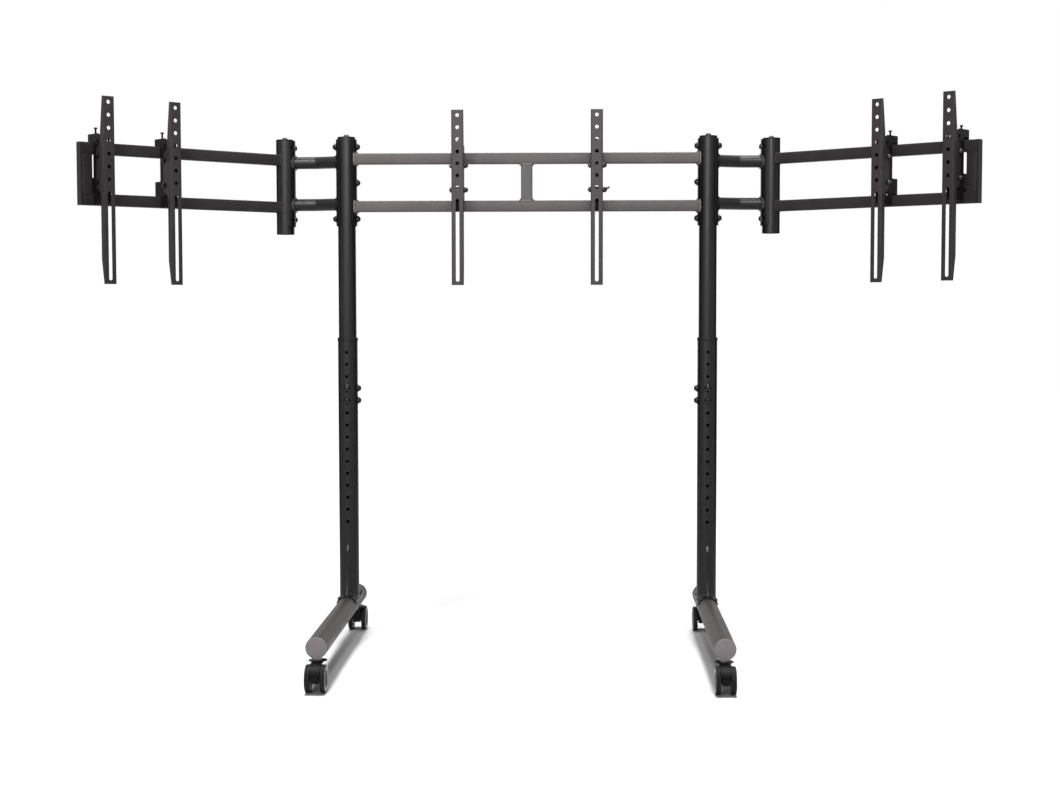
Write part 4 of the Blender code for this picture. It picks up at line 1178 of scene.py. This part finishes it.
rail_shape = rail()
bracket_shape = hook_bracket()
bolt_shape = tilt_bolt()
screw_shape = levelling_screw()
for name, (carrier, along, lift) in BRACKET_PLACES.items():
    bars = WING[carrier] if carrier in SIDES else move(y=POST_Y - BAR_FORWARD, z=FRAME_Z)
    hook = bars @ move(along, 0, lift)
    pivot = hook @ move(0, -PIVOT_FORWARD, PIVOT_RISE)
    lock = pivot @ move(z=-LOCK_DROP)
    tip = bars @ move(along, 0, BAR_RISE + BAR_HEIGHT / 2 + GAP)
    # Centre rails take the coat with painted light, and wing rails take the one with painted shade.
    rail_coat_lit_or_shaded = coat_wing_rails_painted_shade if carrier in SIDES else coat_rails_painted_light
    on_hook = name + "_hook"
    on_rail = name + "_screen_rail"
    dress(name, on_hook, hook,
          ("hook_cheeks", coat_brackets_painted_shade, bracket_shape.copy(), "coat", "hook_bracket", SHEET_EDGE))
    dress(name, on_rail, pivot, ("folded_rail", rail_coat_lit_or_shaded, rail_shape.copy(), "coat", "rail", SHEET_EDGE))
    dress(name, on_hook, pivot,
          ("tilt_pivot", black_oxide, bolt_shape.copy(), "screw_steel", "pivot_bolt"))
    dress(name, on_rail, lock, ("tilt_lock", black_oxide, bolt_shape.copy(), "screw_steel"))
    if name == "centre_right":
        dress(name, on_rail, lock, ("lock_lever", black_oxide, wing_lever(), "screw_steel"))
    dress(name, name + "_screw", tip,
          ("levelling_cap_screw", screw_black, screw_shape.copy(), "screw_steel", "levelling_screw"))
for shape in (rail_shape, bracket_shape, bolt_shape, screw_shape):
    shape.free()


# Studio: a white floor that takes the shadow, a plain white surround and soft lamps

def seen_by(nodes, *rays):
    """A value of 1 for rays of these kinds, else 0."""
    path = node(nodes, "LightPath", {})
    seen = path.outputs[rays[0]]
    for ray in rays[1:]:
        seen = node(nodes, "Math", {0: seen, 1: path.outputs[ray]}, operation="MAXIMUM").outputs[0]
    return seen


def studio_floor():
    """Matt white, with a glow that takes over away from the stand, for the camera and reflections."""
    finish, nodes = blank_finish("white_floor")
    nodes.remove(nodes["Principled BSDF"])
    shown = seen_by(nodes, "Is Camera Ray", "Is Glossy Ray")
    white = node(
        nodes, "Mix", {0: shown, 6: (0.9, 0.9, 0.9, 1), 7: (0.93, 0.93, 0.93, 1)}, data_type="RGBA")
    place = node(nodes, "TexCoord", {}).outputs["Object"]
    reach = node(nodes, "VectorMath", {0: place}, operation="LENGTH").outputs["Value"]
    far = node(nodes, "MapRange", {"Value": reach, "From Min": 0.5, "From Max": 1.7},
               interpolation_type="SMOOTHSTEP")
    strength = node(nodes, "Math", {0: far.outputs["Result"], 1: shown}, operation="MULTIPLY")
    matt = node(nodes, "BsdfDiffuse", {"Color": white.outputs[2]})
    glow = node(nodes, "Emission", {"Strength": strength.outputs[0]})
    both = node(nodes, "AddShader", {0: matt.outputs[0], 1: glow.outputs[0]})
    feed(nodes["Material Output"], {"Surface": both.outputs[0]})
    shape = bmesh.new()
    bmesh.ops.create_grid(shape, x_segments=1, y_segments=1, size=12)
    object_of(shape, "studio_floor", finish)


def dark_card(name, near, far):
    """A dark card that only reflections see, upright between two points of the floor."""
    finish, nodes = blank_finish("dark_card")
    feed(nodes["Principled BSDF"], {"Base Color": (0.01, 0.01, 0.01, 1), "Roughness": 1.0})
    shape = bmesh.new()
    low = [shape.verts.new((*point, 0.0)) for point in (near, far)]
    high = [shape.verts.new((*point, 2.6)) for point in (far, near)]
    shape.faces.new(low + high)
    card = object_of(shape, name, finish)
    card.visible_camera = False
    card.visible_diffuse = False
    card.visible_shadow = False
    card.visible_transmission = False


def lamp(name, place, aim, width, height, watts, spread):
    light = bpy.data.lights.new(name, "AREA")
    light.shape = "RECTANGLE"
    light.size = width
    light.size_y = height
    light.energy = watts
    light.spread = radians(spread)
    obj = added(name, light)
    obj.location = place
    obj.visible_camera = False
    obj.rotation_euler = (Vector(aim) - Vector(place)).to_track_quat("-Z", "Y").to_euler()


studio_floor()
lamp("key_soft_box", (0.10, -1.9, 1.7), (0.05, 0.2, 1.32), 1.2, 0.6, 8, 80)
lamp("front_fill", (-1.6, -4.4, 1.6), (0.25, 0, 1.05), 2.4, 1.6, 8, 70)
for side, sign in SIDES.items():
    x = sign * 0.56
    lamp(side + "_overhead_soft_box", (x, -0.15, 3.5), (x, -0.15, 0), 0.65, 1.5, 7.6, 36)
    lamp(side + "_high_soft_box", (sign * 0.93, -1.2, 2.3), (sign * 0.53, 0.2, 1.15), 0.34, 0.34,
         1.9 - sign * 0.5, 50)
for side, sign in SIDES.items():
    dark_card(side + "_dark_card", (sign * 1.45, 0.3), (sign * 1.9, 3.2))

world = bpy.data.worlds.new("studio")
world.use_nodes = True
bpy.context.scene.world = world
sky = world.node_tree.nodes
seen = seen_by(sky, "Is Camera Ray", "Is Glossy Ray", "Is Transmission Ray")
level = node(sky, "MapRange", {"Value": seen, "To Min": 0.07, "To Max": 1.0})
feed(sky["Background"], {"Color": (1, 1, 1, 1), "Strength": level.outputs["Result"]})


# Camera, from a fit to the photograph

PHOTO_WIDTH = 1060
FOCAL_LENGTH = 1700        # in the photograph's pixels
SENSOR_WIDTH = 36
CAMERA_PLACE = (0.1231, -4.2062 + POST_Y, 0.8541)
CAMERA_YAW = -1.58
CAMERA_PITCH = 3.28
CAMERA_ROLL = -0.08

lens = bpy.data.cameras.new("photo_camera")
lens.sensor_width = SENSOR_WIDTH
lens.sensor_fit = "HORIZONTAL"
lens.lens = FOCAL_LENGTH / PHOTO_WIDTH * SENSOR_WIDTH
lens.clip_end = 60
camera = added("photo_camera", lens)
aim = turn("Z", -CAMERA_YAW) @ turn("X", 90 - CAMERA_PITCH) @ turn("Z", CAMERA_ROLL)
camera.matrix_world = move(*CAMERA_PLACE) @ aim
bpy.context.scene.camera = camera
bpy.context.scene.view_settings.view_transform = "Standard"

bpy.context.view_layer.update()
